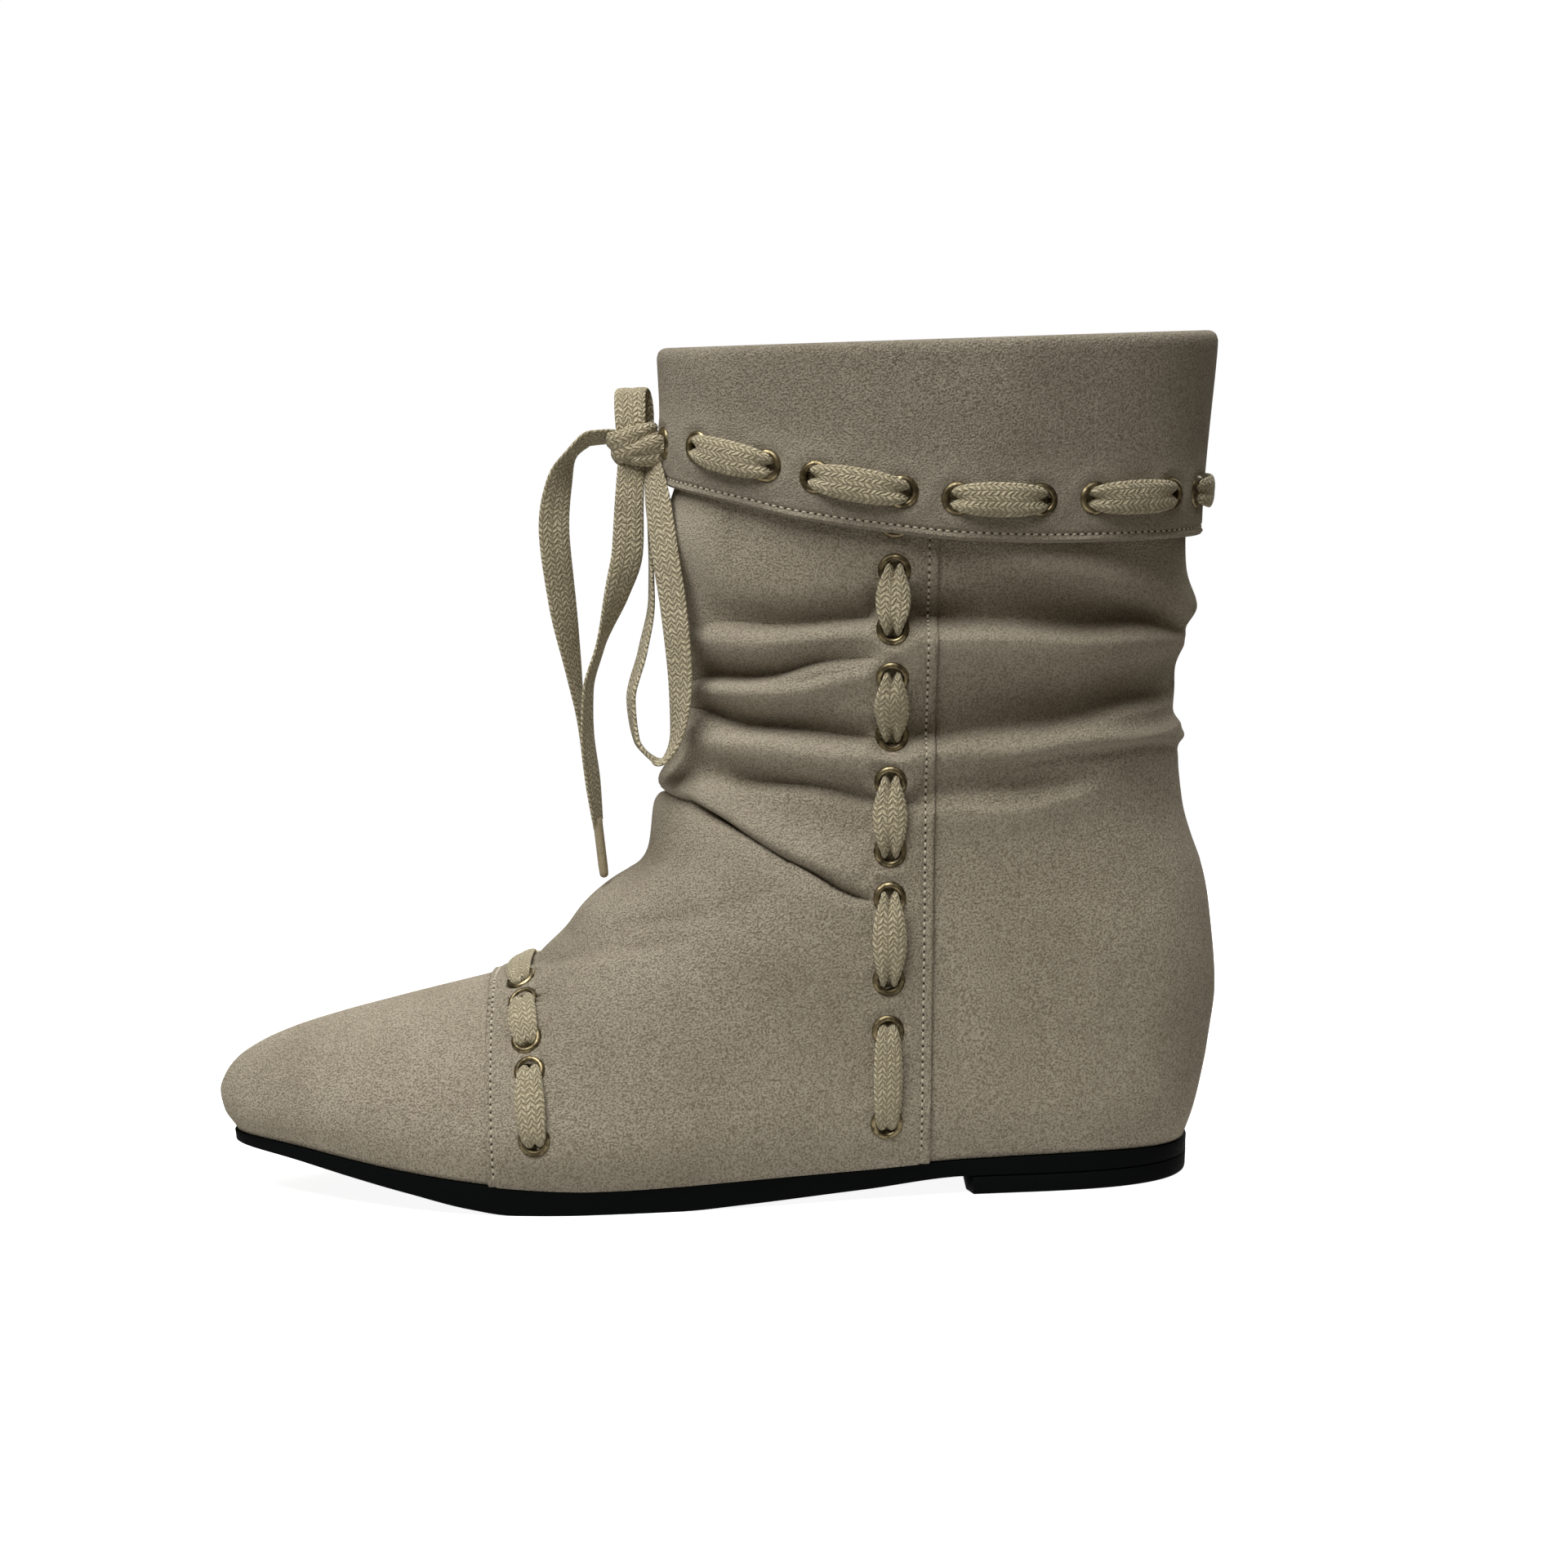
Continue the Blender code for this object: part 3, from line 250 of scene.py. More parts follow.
# Light: name, place, aim, size in metres and power in watts.
LIGHTS = [
    ("key", (-0.32, -0.46, 1.24), (0.0, 0.0, 0.06), 0.9, 21.4),
    ("fill", (0.55, 0.80, 0.75), (0.0, 0.0, 0.10), 0.9, 8.0),
    ("bounce", (-0.04, -0.06, -0.002), (-0.04, -0.06, 1.0), 0.56, 0.62),
]
WORLD_GLOW = 0.12
GLOW_COLOUR = (1.0, 0.88, 0.70, 1.0)
FLOOR_RADIUS = 0.55
FLOOR_SIDES = 96
FLOOR_GLOW = 0.92

# A lace's outer runs: their size and their rise over the wall. The pinch says how soon they narrow towards
# the holes, and the split how deep their middle sinks there.
Run = namedtuple("Run", "width thickness rise pinch split")
RUNS = {
    "lace_cuff": Run(width=8.6, thickness=2.6, rise=1.9, pinch=0.5, split=2.4),
    "lace_side": Run(width=8.8, thickness=2.6, rise=1.9, pinch=1.25, split=2.2),
    "lace_toe": Run(width=7.8, thickness=2.0, rise=1.2, pinch=0.5, split=1.0),
}
# The lowest run down the side is pulled flat.
LAST_RUNS = {"lace_side": Run(width=7.4, thickness=2.2, rise=1.5, pinch=0.6, split=0.7)}

# A stitch's thread, or a dark bead of painted shade in a pinhole: its length, half width, half height and
# how far its ends dip
Bead = namedtuple("Bead", "length radius height sag")
THREAD = Bead(length=1.5, radius=0.36, height=0.36, sag=0.3)
PINHOLE_SHADE = Bead(length=0.6, radius=0.28, height=0.14, sag=0.0)

# A plain finish: its colour and roughness, and the size and depth of its grain
Plain = namedtuple("Plain", "colour roughness grain_size grain_depth")
PLAIN = {
    "lining": Plain((0.50, 0.42, 0.32), roughness=0.8, grain_size=0.9, grain_depth=0.15),
    "cut suede": Plain((0.50, 0.445, 0.345), roughness=0.9, grain_size=0.4, grain_depth=0.2),
    "thread": Plain((0.60, 0.54, 0.42), roughness=0.7, grain_size=0.3, grain_depth=0.05),
    # Painted shade: the dark beads stand for the shade inside the pinholes.
    "pinhole_shade": Plain((0.035, 0.026, 0.016), roughness=0.9, grain_size=0.3, grain_depth=0.05),
    "aglet": Plain((0.44, 0.37, 0.24), roughness=0.5, grain_size=0.5, grain_depth=0.1),
}

# A level of the boot: its front and back ends, and its half widths where it is a shaft
Section = namedtuple("Section", "z front back lateral medial")
SECTIONS = [
    Section(8.5, -127.0, 118.9, 36.0, 34.0),
    Section(16.0, -129.2, 121.7, 36.0, 34.0),
    Section(21.0, -132.4, 123.1, 36.0, 34.0),
    Section(TOE_TIP_Z, -133.4, 124.3, 36.0, 34.0),
    Section(30.0, -132.0, 125.2, 36.0, 34.0),
    Section(34.5, -128.5, 126.0, 36.0, 34.0),
    Section(38.5, -122.5, 126.7, 36.0, 34.0),
    Section(42.5, -113.0, 127.4, 36.0, 34.0),
    Section(46.5, -99.0, 127.9, 36.0, 34.0),
    Section(50.3, -83.0, 128.0, 36.0, 34.0),
    Section(56.0, -59.5, 127.8, 36.0, 34.0),
    Section(62.0, -46.8, 127.4, 35.5, 34.0),
    Section(70.0, -38.2, 126.7, 35.0, 33.5),
    Section(79.0, -28.6, 125.2, 34.0, 33.0),
    Section(87.0, -20.8, 123.0, 33.5, 32.5),
    Section(95.0, -15.2, 121.0, 33.0, 32.0),
    Section(THROAT_Z, -11.0, 119.8, 33.0, 32.0),
    Section(116.0, -7.4, 118.6, 33.5, 32.5),
    Section(130.0, -5.2, 119.8, 34.5, 33.5),
    Section(150.0, -5.4, 122.2, 36.0, 35.0),
    Section(172.0, -5.6, 123.4, 37.0, 36.0),
    Section(COLLAR_Z, -8.0, 129.0, 38.0, 37.0),
]

# A place along the last: its half widths at the widest level, and the roundness of its section
Station = namedtuple("Station", "x lateral medial roundness")
LAST = [
    Station(-133.4, 0.0, 0.0, 2.4),
    Station(-120.0, 16.0, 16.5, 2.4),
    Station(-105.0, 25.0, 26.0, 2.3),
    Station(-85.0, 34.0, 34.5, 2.2),
    Station(-60.0, 40.8, 40.8, 2.0),
    Station(BALL_X, 43.8, 42.5, 1.8),
    Station(0.0, 42.0, 38.5, 1.7),
    Station(30.0, 37.8, 34.5, 1.8),
    Station(60.0, 35.0, 33.5, 1.8),
    Station(90.0, 34.4, 34.0, 1.8),
    Station(128.0, 34.4, 34.0, 1.8),
]

# A place along the sole: the height of its underside, and of its top, where the upper starts
Edge = namedtuple("Edge", "x under top")
SOLE = [
    Edge(-130.0, 13.2, 16.2),
    Edge(-113.0, 11.2, 15.0),
    Edge(-97.0, 8.2, 12.8),
    Edge(-81.0, 4.9, 10.5),
    Edge(-66.0, 1.6, 8.6),
    Edge(-54.0, 0.0, 7.4),
    Edge(-31.0, 0.0, 6.5),
    Edge(-12.0, 0.0, 6.9),
    Edge(4.0, 0.9, 7.6),
    Edge(35.0, 2.9, 8.4),
    Edge(HEEL_BREAST_X, 5.0, 9.5),
    Edge(93.0, 5.0, 10.0),
    Edge(122.0, 5.0, 8.9),
]

# A soft ridge (positive) or trough (negative) along a line round the boot. Angles are in degrees: 0 is the
# front, 90 the lateral side and 180 the back. It reaches this far above and below its line, and may sag.
Fold = namedtuple("Fold", "angles heights depth above below sag", defaults=[0.0])
# The lateral side's folds, from the cuff down. The medial side has them too, a little lower and softer.
FOLDS = [
    Fold((-36, 0, 36), (168, 168, 168), 2.7, 14, 12),
    Fold((96, 112, 130, 145, 160, 205), (164.5, 160, 155, 151, 147.5, 146), 3.0, 6, 4),
    Fold((22, 49, 63, 74, 100), (146.9, 146, 146.4, 146.8, 147.4), -4.2, 6, 1.5),
    Fold((72, 103, 117, 142, 174), (148.2, 146.3, 144.6, 143.5, 141), -5.4, 9, 1.8),
    Fold((0, 29, 56, 75, 90, 103, 124, 152, 198),
         (142, 142, 143.5, 143.9, 142.5, 141.6, 140.4, 138.4, 138), 2.8, 2.0, 9),
    Fold((0, 8, 35, 48, 63, 78), (130.6, 131, 132.3, 133, 136.4, 139), -5.4, 6, 0.9),
    Fold((-10, 3, 41, 56, 69, 84), (128.4, 128.8, 130, 130.8, 133, 135), 2.2, 1.3, 4.5),
    Fold((2, 14, 32, 46, 61, 75, 92), (124.4, 123.6, 121.6, 120, 118.4, 117.6, 117.4), -5.4, 5, 1.2),
    Fold((2, 17, 40, 59, 75, 98), (119, 118, 116.6, 114.8, 114, 113.6), 2.6, 1.6, 6),
    Fold((76, 91, 108, 127, 150, 176), (117.5, 117.9, 119.1, 121.3, 123.8, 125), -5.6, 10, 1.8),
    Fold((150, 180, 210), (133, 133, 133), -1.0, 4, 5),
    Fold((82, 91, 109, 123, 140, 180, 206),
         (113.1, 113.5, 114.7, 115.8, 115.6, 115.6, 115), 2.8, 2.0, 5, 0.6),
    Fold((100, 112, 124, 140, 172, 186), (109.6, 110.2, 112, 112.6, 111, 110.6), -1.6, 1.4, 2.4),
    Fold((16, 34, 49, 64, 77, 92), (110.6, 108.8, 107, 105, 102.3, 101), -4.2, 4.6, 1.8),
    Fold((-26, 0, 24, 42, 50, 68, 80), (109, 108.6, 105.8, 100.6, 97.2, 88.4, 83.2), 3.4, 4.5, 2.6, 2.8),
    Fold((-14, 0, 24, 34, 42, 50, 60, 68, 78, 92),
         (105, 104.7, 102.2, 99.5, 97, 93.6, 88.2, 84.6, 79.2, 74), -7.0, 1.7, 0.5),
    Fold((-24, 0, 24, 42, 50, 68, 84), (101, 100.8, 98.2, 93, 89.6, 80.6, 72.8), 1.6, 2.2, 5),
    Fold((-40, 0, 30), (88, 88, 87), -2.0, 5, 6),
    Fold((86, 105, 130), (104.4, 103.6, 106.4), -2.0, 4, 1.6),
    Fold((84, 93, 102, 113, 119, 132), (98.7, 99, 97.9, 98.5, 100.5, 102.5), 1.6, 1.6, 7),
    Fold((-30, 16, 34, 56), (60, 60.8, 64.3, 69), -1.6, 3, 2.2),
    Fold((-20, 17, 42, 64), (70, 67, 71.4, 79), -1.2, 3.4, 3),
]

# The cuff at an angle round the shaft: the height of its lower edge, and of its row of eyelets
Hem = namedtuple("Hem", "angle hem_z lace_z")
CUFF = [
    Hem(0.0, 181.8, 192.2),
    Hem(22.0, 179.8, 192.0),
    Hem(41.0, 176.8, 188.6),
    Hem(56.0, 173.4, 185.0),
    Hem(75.0, 169.9, 180.5),
    Hem(96.0, 166.6, 176.9),
    Hem(120.0, 165.0, 175.8),
    Hem(180.0, 164.2, 175.6),
]

# A place along a strand of the bow, with the lace's width there. The turn is 0 where the lace is seen
# edge-on from the boot's outer side, and 90 where it lies flat to it.
Bend = namedtuple("Bend", "x y z turn width")
STRANDS = {
    "bow_end_left": [
        Bend(-20.0, 0.0, 193.2, 40.0, 5.0),
        Bend(-24.2, -1.6, 194.0, 38.0, 6.0),
        Bend(-28.5, -3.6, 193.8, 35.0, 6.5),
        Bend(-33.3, -5.0, 190.4, 20.0, 7.5),
        Bend(-36.8, -5.0, 183.5, 50.0, 8.0),
        Bend(-38.8, -5.0, 170.6, 75.0, 8.0),
        Bend(-37.6, -3.5, 153.0, 60.0, 8.0),
        Bend(-35.6, 0.0, 135.0, 30.0, 7.5),
        Bend(-34.1, 2.5, 120.0, 10.0, 7.0),
        Bend(-32.6, 3.5, 106.0, 20.0, 6.0),
    ],
    "bow_end_right": [
        Bend(-18.4, -1.0, 191.5, 90.0, 6.0),
        Bend(-18.6, -3.6, 186.6, 90.0, 6.8),
        Bend(-19.4, -5.5, 176.0, 90.0, 7.5),
        Bend(-20.2, -6.0, 165.0, 85.0, 8.0),
        Bend(-23.4, -5.5, 154.0, 50.0, 8.0),
        Bend(-28.4, -5.0, 140.0, 12.0, 8.0),
        Bend(-31.8, -5.0, 129.0, 15.0, 8.0),
        Bend(-32.4, -5.0, 118.0, 20.0, 8.0),
        Bend(-31.5, -4.5, 106.0, 28.0, 7.0),
        Bend(-30.7, -4.0, 95.5, 30.0, 4.5),
    ],
    "bow_loop_long": [
        Bend(-14.0, -1.0, 190.5, -40.0, 6.0),
        Bend(-12.8, -6.0, 184.0, -50.0, 7.0),
        Bend(-11.6, -10.5, 175.0, -58.0, 8.0),
        Bend(-10.2, -14.5, 163.0, -60.0, 8.0),
        Bend(-8.6, -17.0, 150.0, -58.0, 8.0),
        Bend(-7.6, -18.5, 133.0, -50.0, 8.0),
        Bend(-9.0, -18.0, 119.0, -25.0, 8.0),
        Bend(-13.6, -15.5, 111.8, 0.0, 8.0),
        Bend(-19.4, -12.5, 117.0, 10.0, 8.0),
        Bend(-20.6, -10.0, 127.0, 15.0, 8.0),
        Bend(-17.2, -6.5, 139.5, 15.0, 8.0),
        Bend(-14.6, -3.5, 153.0, 8.0, 8.0),
        Bend(-14.4, 0.0, 170.0, 0.0, 7.0),
        Bend(-14.9, 1.4, 190.5, 0.0, 6.0),
    ],
    "bow_loop_short": [
        Bend(-18.2, -5.0, 191.5, 0.0, 7.0),
        Bend(-18.3, -4.6, 196.5, 0.0, 7.6),
        Bend(-18.3, -3.0, 201.5, 0.0, 8.0),
        Bend(-18.2, -0.8, 204.8, 0.0, 8.0),
        Bend(-17.8, 1.8, 205.6, 0.0, 8.0),
        Bend(-17.0, 4.0, 204.0, 0.0, 8.0),
        Bend(-16.4, 4.4, 199.0, 0.0, 7.8),
        Bend(-16.4, 3.0, 191.5, 0.0, 7.0),
    ],
}
# What a strand's width is measured from: into the picture, or along the boot for the upright loop.
WIDTH_FROM = {
    "bow_end_left": (0.0, 1.0, 0.0),
    "bow_end_right": (0.0, 1.0, 0.0),
    "bow_loop_long": (0.0, 1.0, 0.0),
    "bow_loop_short": (1.0, 0.0, 0.0),
}
AGLETS = {"aglet_left": "bow_end_left", "aglet_right": "bow_end_right"}

# Where an eyelet sits: the middle of its flange, and the direction out of the wall
Seat = namedtuple("Seat", "place normal")

# A place along a band of the knot, with the lace's width there
Band = namedtuple("Band", "x y z width")
KNOT = {
    "wrap": [
        Band(-13.5, 3.5, 195.0, 5.0),
        Band(-12.2, -1.0, 195.0, 5.0),
        Band(-14.5, -5.4, 194.2, 6.2),
        Band(-19.5, -6.2, 192.0, 8.0),
        Band(-23.0, -2.8, 190.9, 8.6),
        Band(-22.5, 2.5, 190.4, 8.0),
        Band(-17.0, 4.5, 190.5, 7.0),
    ],
    "lump": [
        Band(-20.0, -4.0, 188.8, 4.0),
        Band(-16.0, -6.6, 189.4, 6.5),
        Band(-12.0, -6.6, 190.0, 8.2),
        Band(-9.0, -4.0, 190.4, 8.2),
        Band(-8.4, 0.5, 190.4, 7.5),
        Band(-10.5, 4.5, 190.0, 7.0),
        Band(-15.0, 5.8, 189.6, 6.0),
    ],
}


def smooth_curve(xs, ys, at):
    """Monotone cubic through points, held level past their ends."""
    xs, ys = np.array(xs, float), np.array(ys, float)
    gaps = np.diff(xs)
    rises = np.diff(ys) / gaps
    slopes = np.zeros_like(xs)
    rising = rises[:-1] * rises[1:] > 0
    near = 2 * gaps[1:] + gaps[:-1]
    far = gaps[1:] + 2 * gaps[:-1]
    before, after = rises[:-1][rising], rises[1:][rising]
    slopes[1:-1][rising] = (near + far)[rising] / (near[rising] / before + far[rising] / after)
    slopes[0], slopes[-1] = rises[0], rises[-1]
    x = np.clip(np.asarray(at, float), xs[0], xs[-1])
    i = np.clip(np.searchsorted(xs, x) - 1, 0, len(gaps) - 1)
    h = gaps[i]
    s = (x - xs[i]) / h
    return (
        (1 + 2 * s) * (1 - s) ** 2 * ys[i]
        + s * (1 - s) ** 2 * h * slopes[i]
        + s * s * (3 - 2 * s) * ys[i + 1]
        + s * s * (s - 1) * h * slopes[i + 1]
    )


def smooth_through(table, column, at):
    """One column of a table, as a smooth curve over the table's first column."""
    return smooth_curve([row[0] for row in table], [getattr(row, column) for row in table], at)


def spread_along(table, count):
    """A table's rows as smooth curves, at this many even steps."""
    places = np.arange(len(table))
    steps = np.linspace(0, len(table) - 1, count)
    return np.stack([smooth_curve(places, column, steps) for column in zip(*table)], axis=1)


def ease(value, low, high):
    """0 below low, 1 above high, and a smooth S between."""
    s = np.clip((np.asarray(value, float) - low) / (high - low), 0, 1)
    return s * s * (3 - 2 * s)


def hump(distance, width):
    """1 at no distance, falling off smoothly over about this width."""
    return np.exp(-((distance / width) ** 2))


def unit(vectors):
    return vectors / np.linalg.norm(vectors, axis=-1, keepdims=True)


def soften(rows, times):
    """Evens out a list of points by the mean of each with its neighbours."""
    for _ in range(times):
        inner = (rows[:-2] + 2 * rows[1:-1] + rows[2:]) / 4
        rows = np.concatenate([rows[:1], inner, rows[-1:]])
    return rows


def lengths_along(path):
    """The distance of each point along its path."""
    return np.concatenate([[0], np.cumsum(np.linalg.norm(np.diff(path, axis=0), axis=1))])


front_at = partial(smooth_through, SECTIONS, "front")
back_at = partial(smooth_through, SECTIONS, "back")
sole_top = partial(smooth_through, SOLE, "top")
sole_under = partial(smooth_through, SOLE, "under")


def ridge_at(x):
    """Height of the last's top line: up toe and instep to the throat, then steeply on in the shaft."""
    heights = np.linspace(TOE_TIP_Z, THROAT_Z, 160)
    fronts = front_at(heights)
    beyond = np.maximum(np.asarray(x, float) - fronts[-1], 0)
    return np.interp(x, fronts, heights) + RIDGE_RISE * beyond


def midline(x):
    """The line that the two half widths start from: the toe leans to the medial side."""
    reach = np.clip((BALL_X - np.asarray(x, float)) / (BALL_X - LAST[0].x), 0, 1)
    return MIDLINE_Y + TOE_IN * reach**1.6


def last_half_width(x, z, side):
    """Half width of the foot part, from a dome section whose size follows the last's stations."""
    undercut = np.minimum(front_at(np.minimum(z, TOE_TIP_Z)), front_at(z)) - LAST[0].x
    shift = np.where(z < TOE_TIP_Z, undercut * np.clip(1 - (x - front_at(z)) / TOE_UNDERCUT_REACH, 0, 1), 0)
    squared = [station._replace(lateral=station.lateral**2, medial=station.medial**2) for station in LAST]
    width = np.sqrt(np.maximum(smooth_through(squared, side, x - shift), 0))
    floor = sole_top(x)
    height = np.clip((z - floor) / np.maximum(ridge_at(x - shift) - floor, 1e-6), 0, 1)
    dome = (1 - height ** smooth_through(LAST, "roundness", x)) ** (1 / SECTION_SIDE_POWER)
    tuck = 1 - UNDERCUT_SHARE * np.clip(1 - (z - floor) / UNDERCUT_RISE, 0, 1) ** 2
    past = np.clip((x - HEEL_ROUND_X) / (back_at(z) - HEEL_ROUND_X), 0, 1)
    return width * dome * tuck * (1 - past**HEEL_POWER) ** (1 / HEEL_POWER)


def shaft_half_width(x, z, side):
    """Half width of the shaft, from a full oval between its front and back."""
    front, back = front_at(z), back_at(z)
    from_middle = np.clip(np.abs(2 * (x - front) / (back - front) - 1), 0, 1)
    return smooth_through(SECTIONS, side, z) * (1 - from_middle**SHAFT_POWER) ** (1 / SHAFT_POWER)


def half_width(x, z, side):
    """The foot's half width low down, and the shaft's higher up."""
    share = ease(z, *SHAFT_BLEND)
    return (1 - share) * last_half_width(x, z, side) + share * shaft_half_width(x, z, side)


def between_ends(front, back, along):
    """Lengths at shares of the way from front to back, closer together at both ends."""
    return front + (back - front) * (1 - np.cos(math.pi * along)) / 2


def level_ends(level):
    """Front and back of a level, which follows the sole's curve low down and is flat higher up."""
    lift = 1 - ease(level, FOOT_LEVEL, SOLE_CURVE_TOP)
    ends = []
    for profile, x in ((front_at, LAST[0].x), (back_at, LAST[-1].x)):
        for _ in range(END_STEPS):
            x = profile(level + lift * (sole_top(x) - FOOT_LEVEL))
        ends.append(float(x))
    return ends[0], ends[1], lift


def side_of_column(columns):
    """Each column's place along the boot, 0 front to 1 back, and its side, -1 lateral and 1 medial."""
    turn = np.arange(columns) / columns * 2
    return np.where(turn <= 1, turn, 2 - turn), np.where(turn <= 1, -1.0, 1.0)


def outline(x, z, along, sides):
    """Points of a loop at these lengths and heights, closed at its two ends."""
    width = np.where(sides < 0, half_width(x, z, "lateral"), half_width(x, z, "medial"))
    width[(along == 0) | (along == 1)] = 0
    return np.stack([x, midline(x) + sides * width, z], axis=1)


def wall_loop(level, columns):
    """One loop of the upper's outer face, before its folds."""
    along, sides = side_of_column(columns)
    front, back, lift = level_ends(level)
    x = between_ends(front, back, along)
    return outline(x, level + lift * (sole_top(x) - FOOT_LEVEL), along, sides)


def grid_normals(grid):
    """Outward unit normals of loops stacked from the sole up."""
    around = np.roll(grid, -1, axis=1) - np.roll(grid, 1, axis=1)
    return unit(np.cross(around, np.gradient(grid, axis=0)))


def moved_out(loop, spread):
    """The plan of a loop, moved outwards by spread."""
    ahead = np.roll(loop, -1, axis=0) - np.roll(loop, 1, axis=0)
    return loop[:, :2] + spread * unit(np.stack([ahead[:, 1], -ahead[:, 0]], axis=1))


def insole_top(x):
    """The footbed: level with the sole in front, on a wedge under the heel."""
    low = sole_top(x) + INSOLE_THICKNESS
    return low + ease(x, *WEDGE_RUN) * (HEEL_SEAT_Z - low)


def fold_offsets(angle, z):
    """How far the folds stand out, and how far they sag, at angles round the boot and heights."""
    out = np.zeros(np.broadcast(angle, z).shape)
    sag = np.zeros_like(out)
    for fold in FOLDS:
        first, last = fold.angles[0], fold.angles[-1]
        for turn, lower, share in ((1, 0.0, 1.0), (-1, MEDIAL_FOLD_DROP, MEDIAL_FOLD_SHARE)):
            round_to = np.mod(turn * angle - first + 90, 360) - 90 + first
            along = np.clip((round_to - first) / (last - first), 0, 1)
            line = smooth_curve(fold.angles, fold.heights, round_to) - lower
            line = line + FOLD_WAVER * np.sin(np.radians(FOLD_WAVER_RATE * round_to) + fold.heights[0])
            gap = z - line
            reach = np.where(gap > 0, fold.above, fold.below)
            shape = share * np.sin(math.pi * along) ** 0.6 * hump(gap, reach)
            out += fold.depth * shape
            sag += fold.sag * shape
    dents = np.sin(z / 5.3 + 2 * np.sin(np.radians(3 * angle))) * np.sin(np.radians(7 * angle) + z / 17)
    out += DENT_DEPTH * dents * ease(z, *DENT_RANGE)
    fade = 1 - ease(z, *FOLDS_END)
    return out * fade, sag * fade


def wall_grid(levels, columns):
    """The upper's outer face as loops of points, the directions out of it and how far its folds rise."""
    grid = np.array([wall_loop(level, columns) for level in levels])
    along, sides = side_of_column(columns)
    angle = 180 * along * -sides
    out, sag = fold_offsets(angle[None, :], grid[:, :, 2])
    grid = grid + grid_normals(grid) * out[:, :, None]
    grid[:, :, 2] -= sag
    return grid, grid_normals(grid), out


def grid_faces(rows, columns):
    """Quads of loops stacked from the sole up, as rows of corner numbers."""
    row, column = np.meshgrid(np.arange(rows - 1) * columns, np.arange(columns), indexing="ij")
    ahead = (column + 1) % columns
    corners = [row + column, row + ahead, row + columns + ahead, row + columns + column]
    return np.stack(corners, axis=-1).reshape(-1, 4)


def tube_faces(rows, columns):
    """Quads of loops stacked in a row, with one face over each end."""
    last = (rows - 1) * columns
    ends = [list(range(columns))[::-1], list(range(last, last + columns))]
    return grid_faces(rows, columns).tolist() + ends


def grid_tree(grid):
    """A tree of a grid's faces, to cast rays at."""
    return BVHTree.FromPolygons((grid.reshape(-1, 3) * MM).tolist(), grid_faces(*grid.shape[:2]).tolist())


def mesh_from(name, points, faces):
    """A mesh of points in millimetres."""
    mesh = bpy.data.meshes.new(name)
    mesh.from_pydata((np.asarray(points, float).reshape(-1, 3) * MM).tolist(), [], faces)
    return mesh


def mesh_of_used(name, points, faces, folds=None):
    """A mesh of these faces and the points they use, which keep a value for the suede's painted light and
    shade: how far the folds stand out there, and on the cuff the amount of painted highlight.
    """
    used, faces = np.unique(faces, return_inverse=True)
    mesh = mesh_from(name, points.reshape(-1, 3)[used], faces.reshape(-1, 4).tolist())
    if folds is not None:
        layer = mesh.attributes.new("fold", "FLOAT", "POINT")
        layer.data.foreach_set("value", folds.ravel()[used])
    return mesh


def joined_mesh(name, meshes):
    """Several meshes in one."""
    whole = bmesh.new()
    for mesh in meshes:
        whole.from_mesh(mesh)
    joined = bpy.data.meshes.new(name)
    whole.to_mesh(joined)
    whole.free()
    return joined


def add_piece(name, mesh, material, slot, *nodes):
    """Puts a piece in the scene, on the boot's one body and in place of these CAD nodes."""
    item = bpy.data.objects.new(name, mesh)
    mesh.materials.append(material)
    mesh.shade_smooth()
    mesh.set_sharp_from_angle(angle=SHARP_ANGLE)
    bpy.context.scene.collection.objects.link(item)
    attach(item, "root")
    if nodes:
        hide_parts(*nodes)
    return item


def cast(tree, start, direction):
    """First hit of a ray from outside towards a point, as point and outward normal in millimetres."""
    start, direction = Vector(start) * MM, Vector(direction).normalized()
    hit, normal, _, _ = tree.ray_cast(start + direction * (CAST_FROM * MM), -direction)
    if hit is None:
        hit, normal, _, _ = tree.find_nearest(start)
    return np.array(hit) / MM, np.array(normal)


def cast_line(tree, starts, directions):
    """Where rays meet a surface, as arrays of points and normals."""
    hits = [cast(tree, start, direction) for start, direction in zip(starts, directions)]
    return np.array([hit for hit, _ in hits]), np.array([normal for _, normal in hits])


def full_turn(count):
    """Angles evenly spread round a circle."""
    return np.linspace(0, 2 * math.pi, count, endpoint=False)


def circle_round(axis, beside, count):
    """Directions evenly round an axis, the first one square to a second direction too."""
    side = unit(np.cross(axis, beside))
    turns = full_turn(count)[:, None]
    return np.cos(turns) * side + np.sin(turns) * np.cross(axis, side)


def cad_seats(row_name, inner_x, inner_top=BOOT_TOP_Z):
    """The seats of a row's CAD eyelets, facing away from the boot's middle at a length, up to a height."""
    seats = []
    for name in sorted(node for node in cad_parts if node.startswith(f"eyelet_{row_name}")):
        corners = np.array([corner.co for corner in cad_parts[name].data.vertices]) / MM
        centre = corners.mean(axis=0)
        normal = np.linalg.svd(corners - centre)[2][-1]
        middle = np.array([inner_x, float(midline(inner_x)), min(centre[2], inner_top)])
        seats.append(Seat(centre, normal if normal @ (centre - middle) >= 0 else -normal))
    return seats


def seat_on(tree, seats):
    """The same seats, on a fine surface, at a height that most of the suede under the flange keeps below."""
    found = []
    for seat in seats:
        rims = seat.place + SEAT_PROBE_R * circle_round(seat.normal, EYELET_BESIDE, SEAT_PROBES)
        heights = [(cast(tree, rim, seat.normal)[0] - seat.place) @ seat.normal for rim in rims]
        rise = np.percentile(heights, SEAT_HEIGHT_PERCENTILE)
        found.append(Seat(seat.place + seat.normal * rise, seat.normal))
    return found


def from_seat(points, seat):
    """How high points lie above an eyelet's seat, and how far from its middle."""
    away = points - seat.place
    height = away @ seat.normal
    return height, np.linalg.norm(away - height[..., None] * seat.normal, axis=-1)


